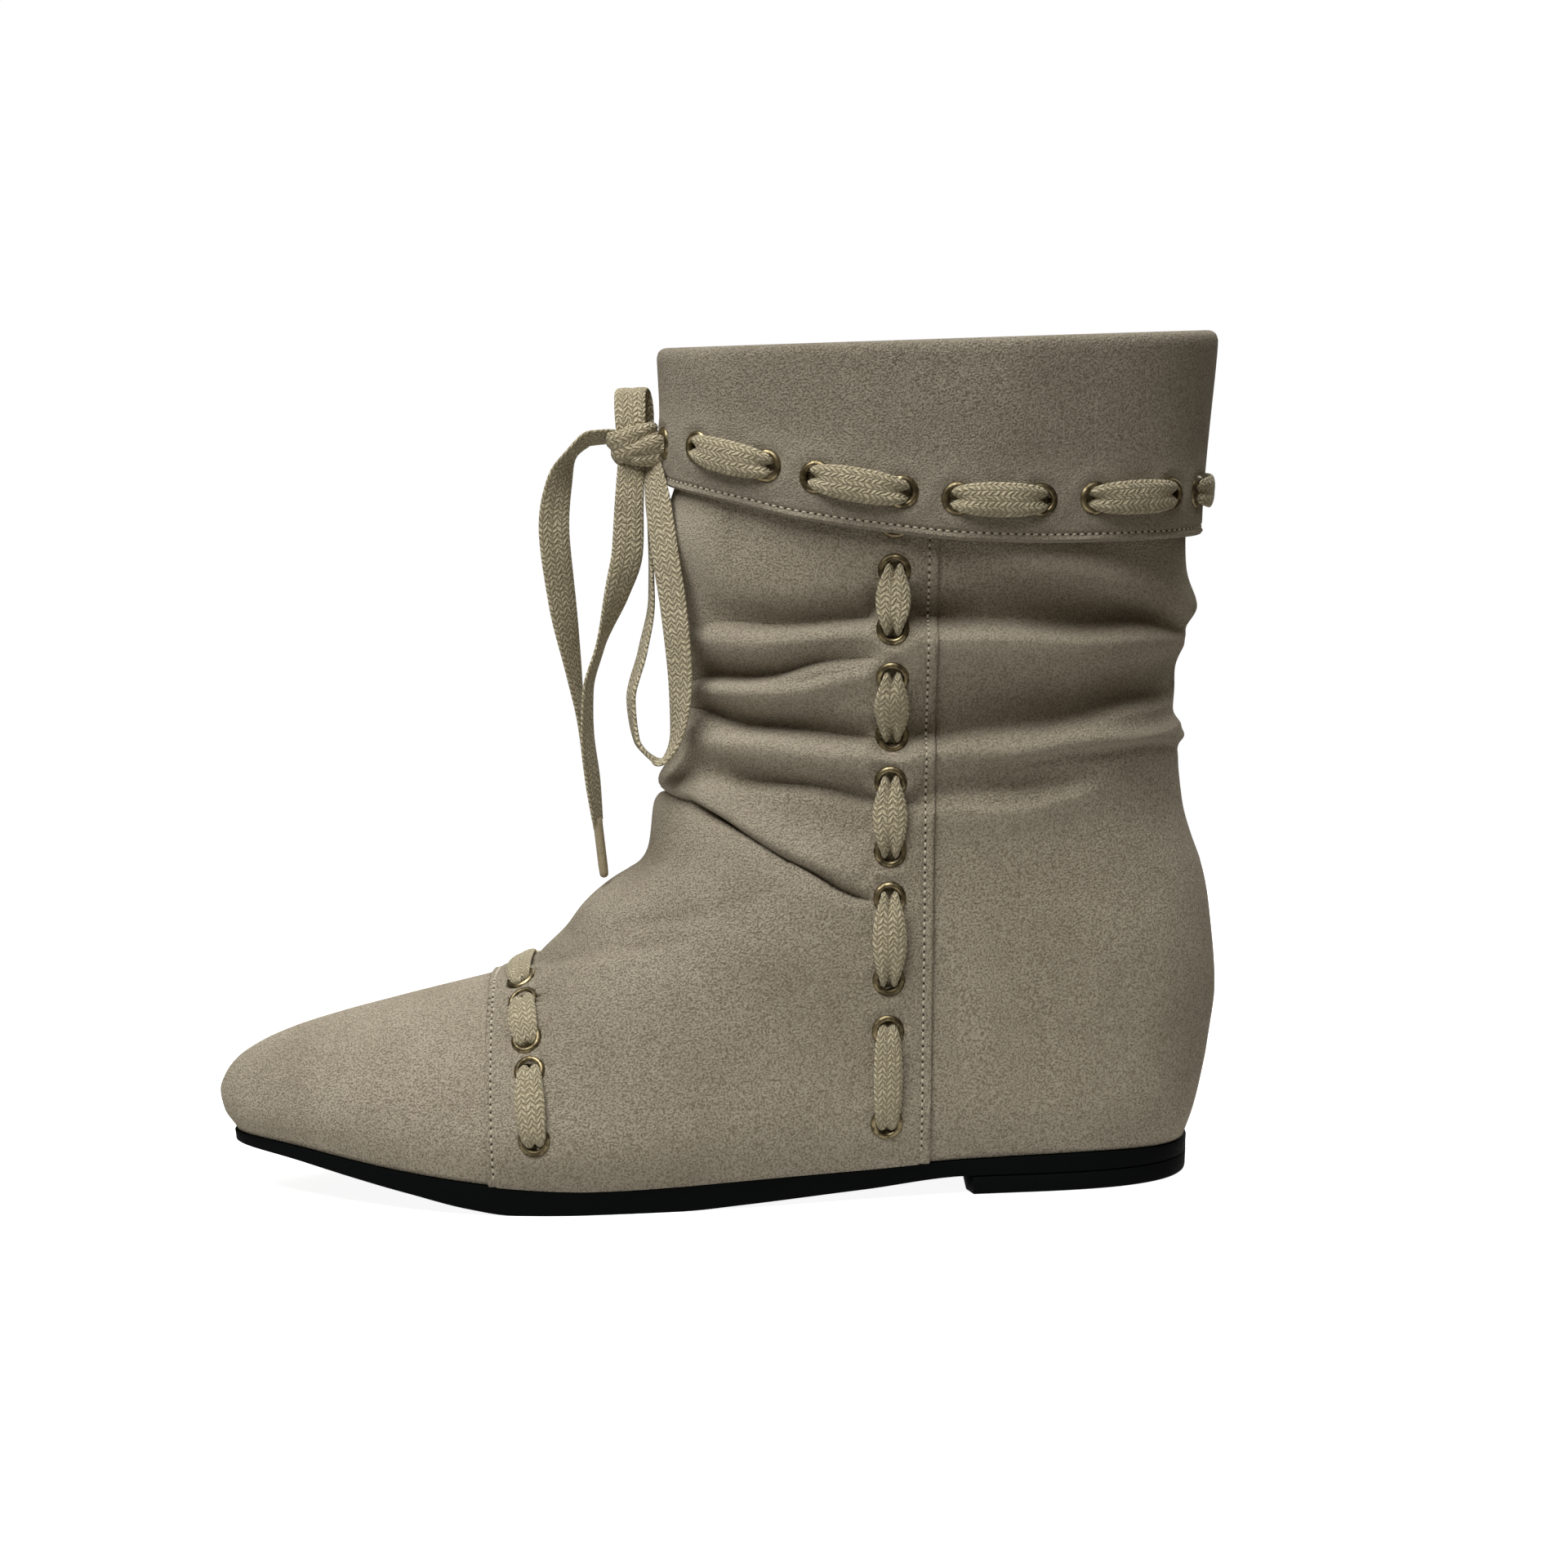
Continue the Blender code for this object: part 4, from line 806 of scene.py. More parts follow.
def press_flat(grid, seats):
    """Presses the suede flat under each eyelet and lets it rise softly round it."""
    for seat in seats:
        height, distance = from_seat(grid, seat)
        near = np.abs(height) < PRESS_DEPTH
        flat = np.where(near, 1 - ease(distance, *PRESS_BLEND), 0)
        puff = np.where(near, PUFF_RISE * hump(distance - PUFF_R, PUFF_WIDTH), 0)
        grid -= seat.normal * ((height + PRESS_SUNK) * flat - puff)[..., None]
    return grid


def without_holes(grid, faces, seats):
    """The faces that aren't inside an eyelet's hole."""
    middles = grid.reshape(-1, 3)[faces].mean(axis=1)
    kept = np.ones(len(faces), bool)
    for seat in seats:
        height, distance = from_seat(middles, seat)
        kept &= (distance > SUEDE_HOLE_R) | (np.abs(height) > SUEDE_HOLE_DEPTH)
    return faces[kept]


def seam_planes():
    """The toe seam and the side seam, each as a point on it and the direction into the front panel."""
    (foot_x, foot_z), (top_x, top_z) = SIDE_SEAM_FOOT, SIDE_SEAM_TOP
    lean = unit(np.array([foot_z - top_z, 0.0, top_x - foot_x]))
    return [
        (np.array([TOE_SEAM_X, 0.0, 0.0]), np.array([1.0, 0.0, 0.0])),
        (np.array([foot_x, 0.0, foot_z]), lean),
    ]


def slice_at(face, point, inward, clear=False):
    """Cuts edges into a face along a plane, and where asked drops what lies outside it."""
    everything = face.verts[:] + face.edges[:] + face.faces[:]
    at, out = Vector(point) * MM, -Vector(inward)
    bmesh.ops.bisect_plane(face, geom=everything, dist=1e-7, plane_co=at, plane_no=out, clear_outer=clear)


def cut_panel(name, grid, folds, cuts, seats=()):
    """The part of a grid within the cutting planes, as an open face without its eyelet holes."""
    faces = without_holes(grid, grid_faces(*grid.shape[:2]), seats)
    for point, inward in cuts:
        near = (grid.reshape(-1, 3) - point) @ inward > -CUT_SPARE
        faces = faces[near[faces].all(axis=1)]
    mesh = mesh_of_used(name, grid, faces, folds)
    face = bmesh.new()
    face.from_mesh(mesh)
    for point, inward in cuts:
        slice_at(face, point, inward, clear=True)
    face.to_mesh(mesh)
    face.free()
    return mesh


def sew_edges(mesh, seams):
    """Rolls a panel's cut edges and presses a groove along its stitches.

    Each seam is a point on it, the direction into the panel and the stitches' distance from the edge.
    """
    face = bmesh.new()
    face.from_mesh(mesh)
    for point, inward, inset in seams:
        for depth in (EDGE_CUT, *(inset + cut for cut in SEAM_CUTS)):
            slice_at(face, point + inward * depth, inward)
    face.normal_update()
    moves = []
    for vert in face.verts:
        for point, inward, inset in seams:
            depth = (np.array(vert.co) / MM - point) @ inward
            if depth < inset + SEAM_REACH:
                groove = SEAM_GROOVE * hump(depth - inset, SEAM_GROOVE_WIDTH)
                roll = EDGE_ROLL * hump(depth, EDGE_ROLL_WIDTH)
                moves.append((vert, vert.normal * (-(groove + roll) * MM)))
    for vert, move in moves:
        vert.co += move
    face.to_mesh(mesh)
    face.free()


def thicken(item, thickness, cut_edge):
    """Gives an open face its thickness, on the inside, and its cut edges their own finish."""
    item.data.materials.append(cut_edge)
    wall = item.modifiers.new("thickness", "SOLIDIFY")
    wall.thickness = thickness * MM
    wall.offset = -1
    wall.material_offset_rim = 1
    bpy.context.view_layer.update()
    shaped = item.evaluated_get(bpy.context.evaluated_depsgraph_get())
    item.data = bpy.data.meshes.new_from_object(shaped)
    item.modifiers.clear()


class Shader:
    """A material's nodes, with short calls for the ones that the finishes here share."""

    def __init__(self, name, roughness):
        self.material = bpy.data.materials.new(name)
        self.material.use_nodes = True
        self.tree = self.material.node_tree
        self.surface = self.tree.nodes["Principled BSDF"]
        self.surface.inputs["Roughness"].default_value = roughness

    def node(self, kind, **settings):
        made = self.tree.nodes.new(kind)
        for key, value in settings.items():
            setattr(made, key, value)
        return made

    def feed(self, socket, value):
        """Links an output to a socket, or sets the socket's own value."""
        if isinstance(value, bpy.types.NodeSocket):
            self.tree.links.new(value, socket)
        else:
            socket.default_value = (*value, 1.0) if isinstance(value, tuple) else value

    def weave(self):
        """A lace's own coordinates: millimetres across it and along it."""
        split = self.node("ShaderNodeSeparateXYZ")
        layer = self.node("ShaderNodeAttribute", attribute_name="weave")
        self.feed(split.inputs[0], layer.outputs["Vector"])
        return split.outputs[0], split.outputs[1]

    def noise(self, size, detail=2.0, roughness=0.5):
        """Cloudy noise with spots of about this size in millimetres."""
        made = self.node("ShaderNodeTexNoise")
        self.feed(made.inputs["Vector"], self.node("ShaderNodeTexCoord").outputs["Object"])
        made.inputs["Scale"].default_value = 1 / (size * MM)
        made.inputs["Detail"].default_value = detail
        made.inputs["Roughness"].default_value = roughness
        return made.outputs[0]

    def calc(self, operation, first, second=0.0):
        made = self.node("ShaderNodeMath", operation=operation)
        self.feed(made.inputs[0], first)
        self.feed(made.inputs[1], second)
        return made.outputs[0]

    def spread(self, value, low, high, to_low=0.0, to_high=1.0):
        """A value's range from low to high, stretched to another one."""
        made = self.node("ShaderNodeMapRange")
        for socket, given in zip(made.inputs, (value, low, high, to_low, to_high)):
            self.feed(socket, given)
        return made.outputs[0]

    def mix(self, share, first, second):
        made = self.node("ShaderNodeMix", data_type="RGBA")
        for socket, given in zip((made.inputs[0], made.inputs[6], made.inputs[7]), (share, first, second)):
            self.feed(socket, given)
        return made.outputs[2]

    def colour(self, value):
        self.feed(self.surface.inputs["Base Color"], value)

    def bump(self, height, depth):
        """Raises the surface by up to this depth in millimetres."""
        made = self.node("ShaderNodeBump")
        made.inputs["Distance"].default_value = depth * MM
        self.feed(made.inputs["Height"], height)
        self.feed(self.surface.inputs["Normal"], made.outputs[0])

    def set(self, **values):
        """Sets the surface's own sockets, named in small letters with underscores."""
        for key, value in values.items():
            self.surface.inputs[key.replace("_", " ").title().replace("Ior", "IOR")].default_value = value


def suede_finish(name, light, dark):
    """Brushed suede: cloudy colour, a fine worm-like nap, a painted highlight on ridges and painted shade
    down in the folds.
    """
    suede = Shader(name, roughness=0.95)
    clouds = suede.noise(size=34.0, detail=4.0, roughness=0.6)
    nap = suede.noise(size=0.5, detail=3.0, roughness=0.6)
    # The fold attribute: how far the folds stand out, and on the cuff the amount of painted highlight.
    fold = suede.node("ShaderNodeAttribute", attribute_name="fold").outputs["Fac"]
    ground = suede.mix(suede.spread(clouds, 0.3, 0.7, 0.65, 1.0), dark, light)
    napped = suede.mix(suede.spread(nap, 0.38, 0.58, 0.8, 0.0), ground, dark)
    # Painted highlight: the suede is mixed towards its light colour on ridges and on the cuff's lower part.
    painted_highlight = suede.mix(suede.spread(fold, 0.0, 3.0, 0.0, 0.3), napped, light)
    # Painted shade: down in the troughs the suede is mixed towards the dark fold shade.
    suede.colour(suede.mix(suede.spread(fold, 0.0, -4.5, 0.0, 0.5), painted_highlight, FOLD_SHADE))
    suede.bump(nap, depth=1.2)
    suede.set(sheen_weight=0.15, sheen_roughness=0.5, sheen_tint=SHEEN_TINT, specular_ior_level=0.1)
    return suede.material


def lace_finish(name, light, dark):
    """Flat woven lace: strands that lean to and fro across its width, over uneven undyed cotton."""
    lace = Shader(name, roughness=0.9)
    across, along = lace.weave()
    lean = lace.calc("PINGPONG", lace.calc("DIVIDE", across, WEAVE_BAND), 1.0)
    wander = lace.noise(size=1.3)
    lean = lace.calc("ADD", lean, lace.calc("MULTIPLY", wander, 1.5))
    phase = lace.calc("ADD", lace.calc("DIVIDE", along, WEAVE_PITCH), lace.calc("MULTIPLY", lean, 0.9))
    strand = lace.spread(lace.calc("SINE", lace.calc("MULTIPLY", phase, 2 * math.pi)), -1.0, 1.0)
    band = lace.calc("ABSOLUTE", lace.calc("SINE", lace.calc("MULTIPLY", across, math.pi / WEAVE_BAND)))
    height = lace.calc("MULTIPLY", strand, lace.spread(band, 0.0, 0.7, 0.35, 1.0))
    yarn = lace.noise(size=0.35)
    uneven = lace.noise(size=9.0)
    ground = lace.mix(lace.spread(height, 0.05, 0.75), dark, light)
    aged = lace.mix(lace.spread(uneven, 0.4, 0.7, 0.0, 0.35), ground, dark)
    lace.colour(lace.mix(lace.spread(yarn, 0.4, 0.7, 0.0, 0.3), aged, dark))
    lace.bump(lace.calc("ADD", height, lace.calc("MULTIPLY", yarn, 0.5)), depth=0.4)
    lace.set(sheen_weight=0.12, specular_ior_level=0.15)
    return lace.material


def brass_finish(name, light, dark):
    """Antique brass: dark brown patina, rubbed bright in places."""
    brass = Shader(name, roughness=0.3)
    patina = brass.noise(size=2.2, detail=3.0)
    brass.colour(brass.mix(brass.spread(patina, 0.42, 0.62), dark, light))
    brass.feed(brass.surface.inputs["Roughness"], brass.spread(patina, 0.4, 0.65, 0.5, 0.32))
    brass.bump(patina, depth=0.08)
    brass.set(metallic=1.0)
    return brass.material


def rubber_finish(name):
    """Black satin rubber, slightly uneven."""
    rubber = Shader(name, roughness=0.5)
    grain = rubber.noise(size=0.8, detail=3.0)
    rubber.colour(RUBBER)
    rubber.feed(rubber.surface.inputs["Roughness"], rubber.spread(grain, 0.3, 0.7, 0.55, 0.75))
    rubber.bump(grain, depth=0.05)
    rubber.set(specular_ior_level=0.03)
    return rubber.material


def plain_finish(name, look):
    """A single colour over a fine grain."""
    plain = Shader(name, look.roughness)
    grain = plain.noise(size=look.grain_size, detail=3.0)
    shade = tuple(GRAIN_SHADE * part for part in look.colour)
    plain.colour(plain.mix(plain.spread(grain, 0.35, 0.65), look.colour, shade))
    plain.bump(grain, depth=look.grain_depth)
    plain.set(specular_ior_level=0.25)
    return plain.material


def add_aimed(name, data, place, aim, roll=0.0):
    """Puts a camera or a light in the scene, turned towards a point."""
    item = bpy.data.objects.new(name, data)
    item.location = place
    towards = (Vector(aim) - Vector(place)).to_track_quat("-Z", "Y")
    item.rotation_euler = (towards @ Quaternion((0, 0, 1), roll)).to_euler()
    bpy.context.scene.collection.objects.link(item)
    return item


def make_camera():
    """The photograph's view, from the boot's outer side, a little above it and slightly rolled."""
    lens = bpy.data.cameras.new("photo camera")
    lens.lens = CAMERA_LENS
    bpy.context.scene.camera = add_aimed("photo camera", lens, CAMERA_AT, CAMERA_AIM, -CAMERA_ROLL)


def ribbon_mesh(name, path, across, widths, thicknesses, pleats, dips=0.0, fullness=0.78):
    """A flat woven lace along a path: a rounded section, with a pleat along its middle where that is set.

    A dip sinks its middle that deep. The fullness is 1 for an oval section and less for a flatter one.
    """
    ahead = unit(np.gradient(path, axis=0))
    across = unit(across - ahead * np.sum(across * ahead, axis=1, keepdims=True))
    up = np.cross(ahead, across)
    turn = full_turn(RIBBON_SIDES)
    sideways = np.sign(np.cos(turn)) * np.abs(np.cos(turn)) ** fullness
    rise = np.sign(np.sin(turn)) * np.abs(np.sin(turn)) ** fullness
    given = (widths, thicknesses, pleats, dips)
    wide, thick, pleated, dipped = (np.broadcast_to(column, len(path))[:, None] for column in given)
    lift = thick / 2 * rise * (1 - pleated * hump(sideways, PLEAT_WIDTH))
    lift = lift - dipped * hump(sideways, SPLIT_WIDTH)
    rings = path[:, None, :] + (wide / 2 * sideways)[..., None] * across[:, None, :]
    rings = rings + lift[..., None] * up[:, None, :]
    mesh = mesh_from(name, rings, tube_faces(len(path), RIBBON_SIDES))
    woven = np.zeros_like(rings)
    woven[..., 0] = sideways * LACE_WIDTH / 2 + LACE_WIDTH
    woven[..., 1] = lengths_along(path)[:, None]
    layer = mesh.attributes.new("weave", "FLOAT_VECTOR", "POINT")
    layer.data.foreach_set("vector", woven.ravel())
    return mesh


def strand_shape(bends, width_from):
    """A bow strand's fine path, the directions across it and its widths."""
    rows = spread_along(bends, STRAND_STEPS * (len(bends) - 1) + 1)
    path, turns, widths = rows[:, :3], np.radians(rows[:, 3:4]), rows[:, 4]
    ahead = unit(np.gradient(path, axis=0))
    base = unit(np.array(width_from) - ahead * (ahead @ np.array(width_from))[:, None])
    return path, np.cos(turns) * base + np.sin(turns) * np.cross(ahead, base), widths


def make_aglet(name, path, material):
    """The hard wrapped tip that carries on from a strand's end."""
    ahead = unit(path[-1] - path[-4])
    round_it = circle_round(ahead, AGLET_BESIDE, AGLET_SIDES)
    rings = [path[-1] + ahead * reach + radius * round_it for reach, radius in AGLET_PROFILE]
    mesh = mesh_from(name, rings, tube_faces(len(AGLET_PROFILE), AGLET_SIDES))
    return add_piece(f"{name}_tip", mesh, material, "aglet", name)


def make_knot(lace):
    """The knot: a band wrapped round it, and a second one folded over its side towards the eyelets."""
    pieces = []
    for name, bands in KNOT.items():
        rows = spread_along(bands, KNOT_STEPS)
        across = np.tile(KNOT_TILT[name], (KNOT_STEPS, 1))
        path, widths = rows[:, :3], rows[:, 3]
        pieces.append(ribbon_mesh(name, path, across, widths, KNOT_THICKNESS, KNOT_PLEAT, fullness=0.9))
    return add_piece("bow_knot_bands", joined_mesh("bow_knot_bands", pieces), lace, "lace", "bow_knot")


def make_bow(lace, aglet):
    """The bow's loops, ends and knot, and the aglets on its ends."""
    strands = {}
    for name, bends in STRANDS.items():
        path, across, widths = strand_shape(bends, WIDTH_FROM[name])
        mesh = ribbon_mesh(name, path, across, widths, RIBBON_THICKNESS, STRAND_PLEAT)
        strands[name] = add_piece(f"{name}_ribbon", mesh, lace, "lace", name), path
    knot = make_knot(lace)
    for tip, name in AGLETS.items():
        strand, path = strands[name]
        make_aglet(tip, path, aglet)


def arch(tree, first, second, inside, wall, run):
    """A lace's run between two eyelets: points, directions across, widths, thicknesses, pleats and dips.

    It leaves one hole, lies along the wall, outside or inside it, and drops into the next. In each hole it
    lies against the far side, seen from the outer run.
    """
    turn = np.linspace(0, math.pi, RUN_STEPS)
    share = (1 - np.sign(np.cos(turn)) * np.abs(np.cos(turn)) ** 0.8) / 2
    height = HOLE_SUNK + ((-wall - INNER_CLEAR if inside else run.rise) - HOLE_SUNK) * np.sin(turn) ** 0.45
    normals = unit(first.normal + (second.normal - first.normal) * ease(share, 0, 1)[:, None])
    reach = unit(second.place - first.place) * (HOLE_REACH if inside else -HOLE_REACH)
    start, end = first.place + reach, second.place - reach
    points = start + (end - start) * share[:, None]
    near = np.array([tree.find_nearest(Vector(point * MM))[0] for point in points]) / MM
    wall_rise = soften(np.sum((near - points) * normals, axis=1, keepdims=True), RUN_SOFTENING)
    path = points + normals * (height[:, None] + wall_rise * np.sin(turn)[:, None] ** 0.5)
    across = unit(np.cross(normals, second.place - first.place))
    width, thickness = (INNER_WIDTH, INNER_THICKNESS) if inside else (run.width, run.thickness)
    spindle = (4 * share * (1 - share)) ** run.pinch
    widths = HOLE_WIDTH + (width - HOLE_WIDTH) * spindle
    thicknesses = HOLE_THICKNESS + (thickness - HOLE_THICKNESS) * spindle
    split = 0.0 if inside else run.split
    return path, across, widths, thicknesses, HOLE_PLEAT * (1 - spindle), split * (1 - spindle)


def lead(seat, knot_point, leaving):
    """The end of a tied lace, between its last eyelet and the knot, as columns like those of an arch."""
    turn = np.linspace(0, math.pi / 2, RUN_STEPS // 2)
    share, height = np.sin(turn) ** 0.9, HOLE_SUNK - HOLE_SUNK * np.sin(turn) ** 0.6
    path = seat.place + (knot_point - seat.place) * share[:, None] + seat.normal * height[:, None]
    path += seat.normal * (LEAD_RISE * np.sin(2 * turn))[:, None]
    across = np.tile(unit(np.cross(seat.normal, knot_point - seat.place)), (len(path), 1))
    widths = HOLE_WIDTH + (LEAD_WIDTH - HOLE_WIDTH) * np.sin(turn)
    thick, pleats, dips = (np.full(len(path), value) for value in (HOLE_THICKNESS, HOLE_PLEAT, 0.0))
    if leaving:
        return path, across, widths, thick, pleats, dips
    return path[::-1], -across, widths[::-1], thick, pleats, dips


def make_lace(name, tree, seats, starts_inside, wall, lace, knot_points=()):
    """A lace that goes in and out through a row of eyelets, its ends led to the knot where it is tied."""
    runs = [lead(seats[0], knot_points[0], leaving=False)] if knot_points else []
    inside = starts_inside
    for first, second in zip(seats, seats[1:]):
        run = LAST_RUNS.get(name, RUNS[name]) if second is seats[-1] else RUNS[name]
        runs.append(arch(tree, first, second, inside, wall, run))
        inside = not inside
    if knot_points:
        runs.append(lead(seats[-1], knot_points[1], leaving=True))
    parts = [np.concatenate(part) for part in zip(*runs)]
    fresh = np.concatenate([[True], np.linalg.norm(np.diff(parts[0], axis=0), axis=1) > SHORTEST_STEP])
    parts = [part[fresh] for part in parts]
    parts[0], parts[1] = soften(parts[0], 1), soften(parts[1], 4)
    add_piece(f"{name}_woven", ribbon_mesh(name, *parts, fullness=0.95), lace, "lace", name)


def make_eyelet(name, seat, brass):
    """A turned ring with a rolled rim, in its place."""
    round_it = circle_round(seat.normal, EYELET_BESIDE, EYELET_SIDES)
    rings = [seat.place + radius * round_it + height * seat.normal for radius, height in EYELET_PROFILE]
    faces = grid_faces(len(rings) + 1, EYELET_SIDES) % (len(rings) * EYELET_SIDES)
    add_piece(f"{name}_ring", mesh_from(name, rings, faces.tolist()), brass, "eyelet", name)


def bead_row(name, points, normals, first, bead, material):
    """A row of small rounded beads along a line, from this distance on."""
    steps = lengths_along(points)
    middles = np.arange(first, steps[-1] - STITCH_PITCH / 2, STITCH_PITCH)

    def along(table, at):
        return np.stack([np.interp(at, steps, column) for column in table.T], axis=1)

    at, up = along(points, middles), unit(along(normals, middles))
    ahead = unit(along(points, middles + 0.5) - along(points, middles - 0.5))
    side = unit(np.cross(up, ahead))
    ring = full_turn(BEAD_SIDES)
    reach = np.linspace(-1, 1, BEAD_ROWS)[:, None]
    round_it = np.sqrt(np.maximum(1 - np.abs(reach) ** 3, STITCH_ROUND_ENDS))
    lengths = reach * bead.length / 2
    widths = round_it * np.cos(ring) * bead.radius
    heights = round_it * np.sin(ring) * bead.height - bead.sag * reach**2
    rings = at[:, None, None, :]
    for direction, sizes in ((ahead, lengths), (side, widths), (up, heights)):
        rings = rings + direction[:, None, None, :] * sizes[None, :, :, None]
    one = tube_faces(BEAD_ROWS, BEAD_SIDES)
    size = BEAD_ROWS * BEAD_SIDES
    faces = [[corner + size * k for corner in face] for k in range(len(at)) for face in one]
    add_piece(name, mesh_from(name, rings, faces), material, "suede")


def stitch_row(name, points, normals, thread, pinhole_shade):
    """A row of stitches along a line: threads half sunk in the suede, and between them dark beads, painted
    shade in the pinholes.
    """
    points, normals = soften(points, 2), unit(soften(normals, 8))
    bead_row(f"stitches_{name}", points, normals, STITCH_PITCH / 2, THREAD, thread)
    # Dark beads between the threads paint the shade in the pinholes.
    bead_row(f"pinhole_shades_{name}", points, normals, STITCH_PITCH, PINHOLE_SHADE, pinhole_shade)


def sew_side_seams(tree, thread, pinhole_shade):
    """The stitches in front of the side seam's edge, on both sides of the boot."""
    (foot_x, foot_z), (top_x, top_z) = SIDE_SEAM_FOOT, SIDE_SEAM_TOP
    heights = np.arange(*SIDE_STITCH_RANGE, 0.5)
    lengths = foot_x + (top_x - foot_x) * (heights - foot_z) / (top_z - foot_z) - SIDE_STITCH_INSET
    for side, word in ((-1, "lateral"), (1, "medial")):
        starts = np.column_stack([lengths, np.full(len(heights), side * STITCH_CAST_FROM), heights])
        line = cast_line(tree, starts, [(0, side, 0)] * len(heights))
        stitch_row(f"side_{word}", *line, thread, pinhole_shade)


def sew_toe_seam(tree, thread, pinhole_shade):
    """The stitches behind the toe seam's edge, over the vamp from side to side."""
    x = TOE_SEAM_X + TOE_STITCH_INSET
    turns = np.radians(np.arange(-TOE_STITCH_TURN, TOE_STITCH_TURN, 0.6))
    out = np.column_stack([np.zeros(len(turns)), np.sin(turns), np.cos(turns)])
    starts = np.array([x, float(midline(x)), TOE_STITCH_CENTRE_Z]) + STITCH_CAST_FROM * out
    stitch_row("toe", *cast_line(tree, starts, out), thread, pinhole_shade)


def sew_hem(tree, thread, pinhole_shade):
    """The stitches along the cuff's lower edge, all the way round."""
    points, normals = [], []
    for angle in np.arange(-180.0, 180.5, 0.75):
        height = float(smooth_through(CUFF, "hem_z", abs(angle))) + HEM_STITCH_RISE
        point, normal = shaft_line(angle, [height])
        points.append(cast(tree, point[0] + normal[0] * HEM_CAST_FROM, normal[0])[0])
        normals.append(normal[0])
    stitch_row("hem", np.array(points), np.array(normals), thread, pinhole_shade)


def shaft_line(angle, heights):
    """Points and outward directions of the smooth shaft at an angle, from low to high."""
    heights = np.asarray(heights, float)
    levels = np.minimum(heights, COLLAR_Z)
    side = np.full(len(heights), -1.0 if angle >= 0 else 1.0)

    def at(step):
        turned = np.clip(np.full(len(heights), abs(angle) / 180 + step), 0, 1)
        return outline(between_ends(front_at(levels), back_at(levels), turned), levels, turned, side)

    across = at(TURN_STEP) - at(-TURN_STEP)
    normals = np.stack([across[:, 1], -across[:, 0], np.zeros(len(heights))], axis=1) * -side[:, None]
    return np.column_stack([at(0.0)[:, :2], heights]), unit(normals)


def cuff_section(angle):
    """The cuff's section at an angle, as distances out from the shaft and heights, round and closed.

    It goes up the outer face from the hem, over the fold on top and down the inside.
    """
    hem = float(smooth_through(CUFF, "hem_z", abs(angle)))
    lace = float(smooth_through(CUFF, "lace_z", abs(angle)))
    shoulder, round_z = BOOT_TOP_Z - CUFF_SHOULDER_DROP, BOOT_TOP_Z - CUFF_ROUND
    gaps = [CUFF_GAP_LACE, CUFF_GAP_LACE, CUFF_GAP_SHOULDER, CUFF_GAP_TOP]
    hem_rise = np.linspace(HEM_ROUND, HEM_TOP, HEM_ROWS)
    rise = np.concatenate([hem_rise, np.linspace(HEM_TOP + 0.6, round_z - hem, FACE_ROWS - HEM_ROWS)])
    face = smooth_curve([hem - 1.0, lace, shoulder, BOOT_TOP_Z], gaps, hem + rise) + CUFF_WALL
    face -= HEM_GROOVE * hump(rise - HEM_STITCH_RISE, HEM_GROOVE_WIDTH)
    face += HEM_BULGE * hump(rise - HEM_ROUND, HEM_BULGE_WIDTH)
    over = np.linspace(0.15, math.pi - 0.15, CUFF_ROUND_STEPS)
    outer, lip = CUFF_GAP_TOP + CUFF_WALL, -WALL - CUFF_LIP
    over_out = (outer + lip) / 2 + (outer - lip) / 2 * np.cos(over)
    over_z = round_z + CUFF_ROUND * np.sin(over) ** 0.8
    lip_z = COLLAR_Z + SEAT_GAP - CUFF_LIP_DROP
    down_out = [lip, lip, CUFF_GAP_TOP - 0.3, CUFF_GAP_SHOULDER, CUFF_GAP_LACE, CUFF_GAP_LACE]
    down_z = [round_z - 0.6, lip_z, lip_z, shoulder - 2.0, lace, hem + HEM_ROUND]
    under = np.linspace(0.25, math.pi - 0.25, HEM_ROUND_STEPS)
    under_out = CUFF_GAP_LACE + CUFF_WALL / 2 - 0.95 * np.cos(under)
    under_z = hem + HEM_ROUND - HEM_ROUND * np.sin(under)
    out = np.concatenate([face, over_out, down_out, under_out])
    return out, np.concatenate([hem + rise, over_z, down_z, under_z])


def make_cuff(suede, seats):
    """The turned-down cuff, with its rounded fold and hem: gives its outer face and its eyelets' seats."""
    along, sides = side_of_column(FINE_COLUMNS)
    rings, painted_highlight = [], []
    for angle in 180 * along * -sides:
        out, heights = cuff_section(angle)
        above = heights - smooth_through(CUFF, "lace_z", abs(angle))
        # A painted highlight on the cuff's nap, full from the hem to a little above the lace and fading
        # higher up.
        painted_highlight.append(CUFF_PAINTED_HIGHLIGHT * (1 - ease(above, *CUFF_PAINTED_HIGHLIGHT_FADE)))
        points, normals = shaft_line(angle, heights)
        turn = math.radians(CUFF_WAVES * angle + CUFF_WAVE_START)
        wave = CUFF_WAVE * math.sin(turn) * (1 - ease(heights, *CUFF_WAVE_FADE))
        rings.append(points + normals * (out + wave)[:, None])
    grid = np.array(rings).transpose(1, 0, 2)
    seats = seat_on(grid_tree(grid[:FACE_ROWS]), seats)
    grid[:FACE_ROWS] = press_flat(grid[:FACE_ROWS], seats)
    rows, columns = grid.shape[:2]
    faces = without_holes(grid, grid_faces(rows + 1, columns) % (rows * columns), seats)
    mesh = mesh_of_used("cuff", grid, faces, np.array(painted_highlight).T)
    add_piece("cuff_fold", mesh, suede, "suede", "cuff")
    return grid_tree(grid[:FACE_ROWS]), seats


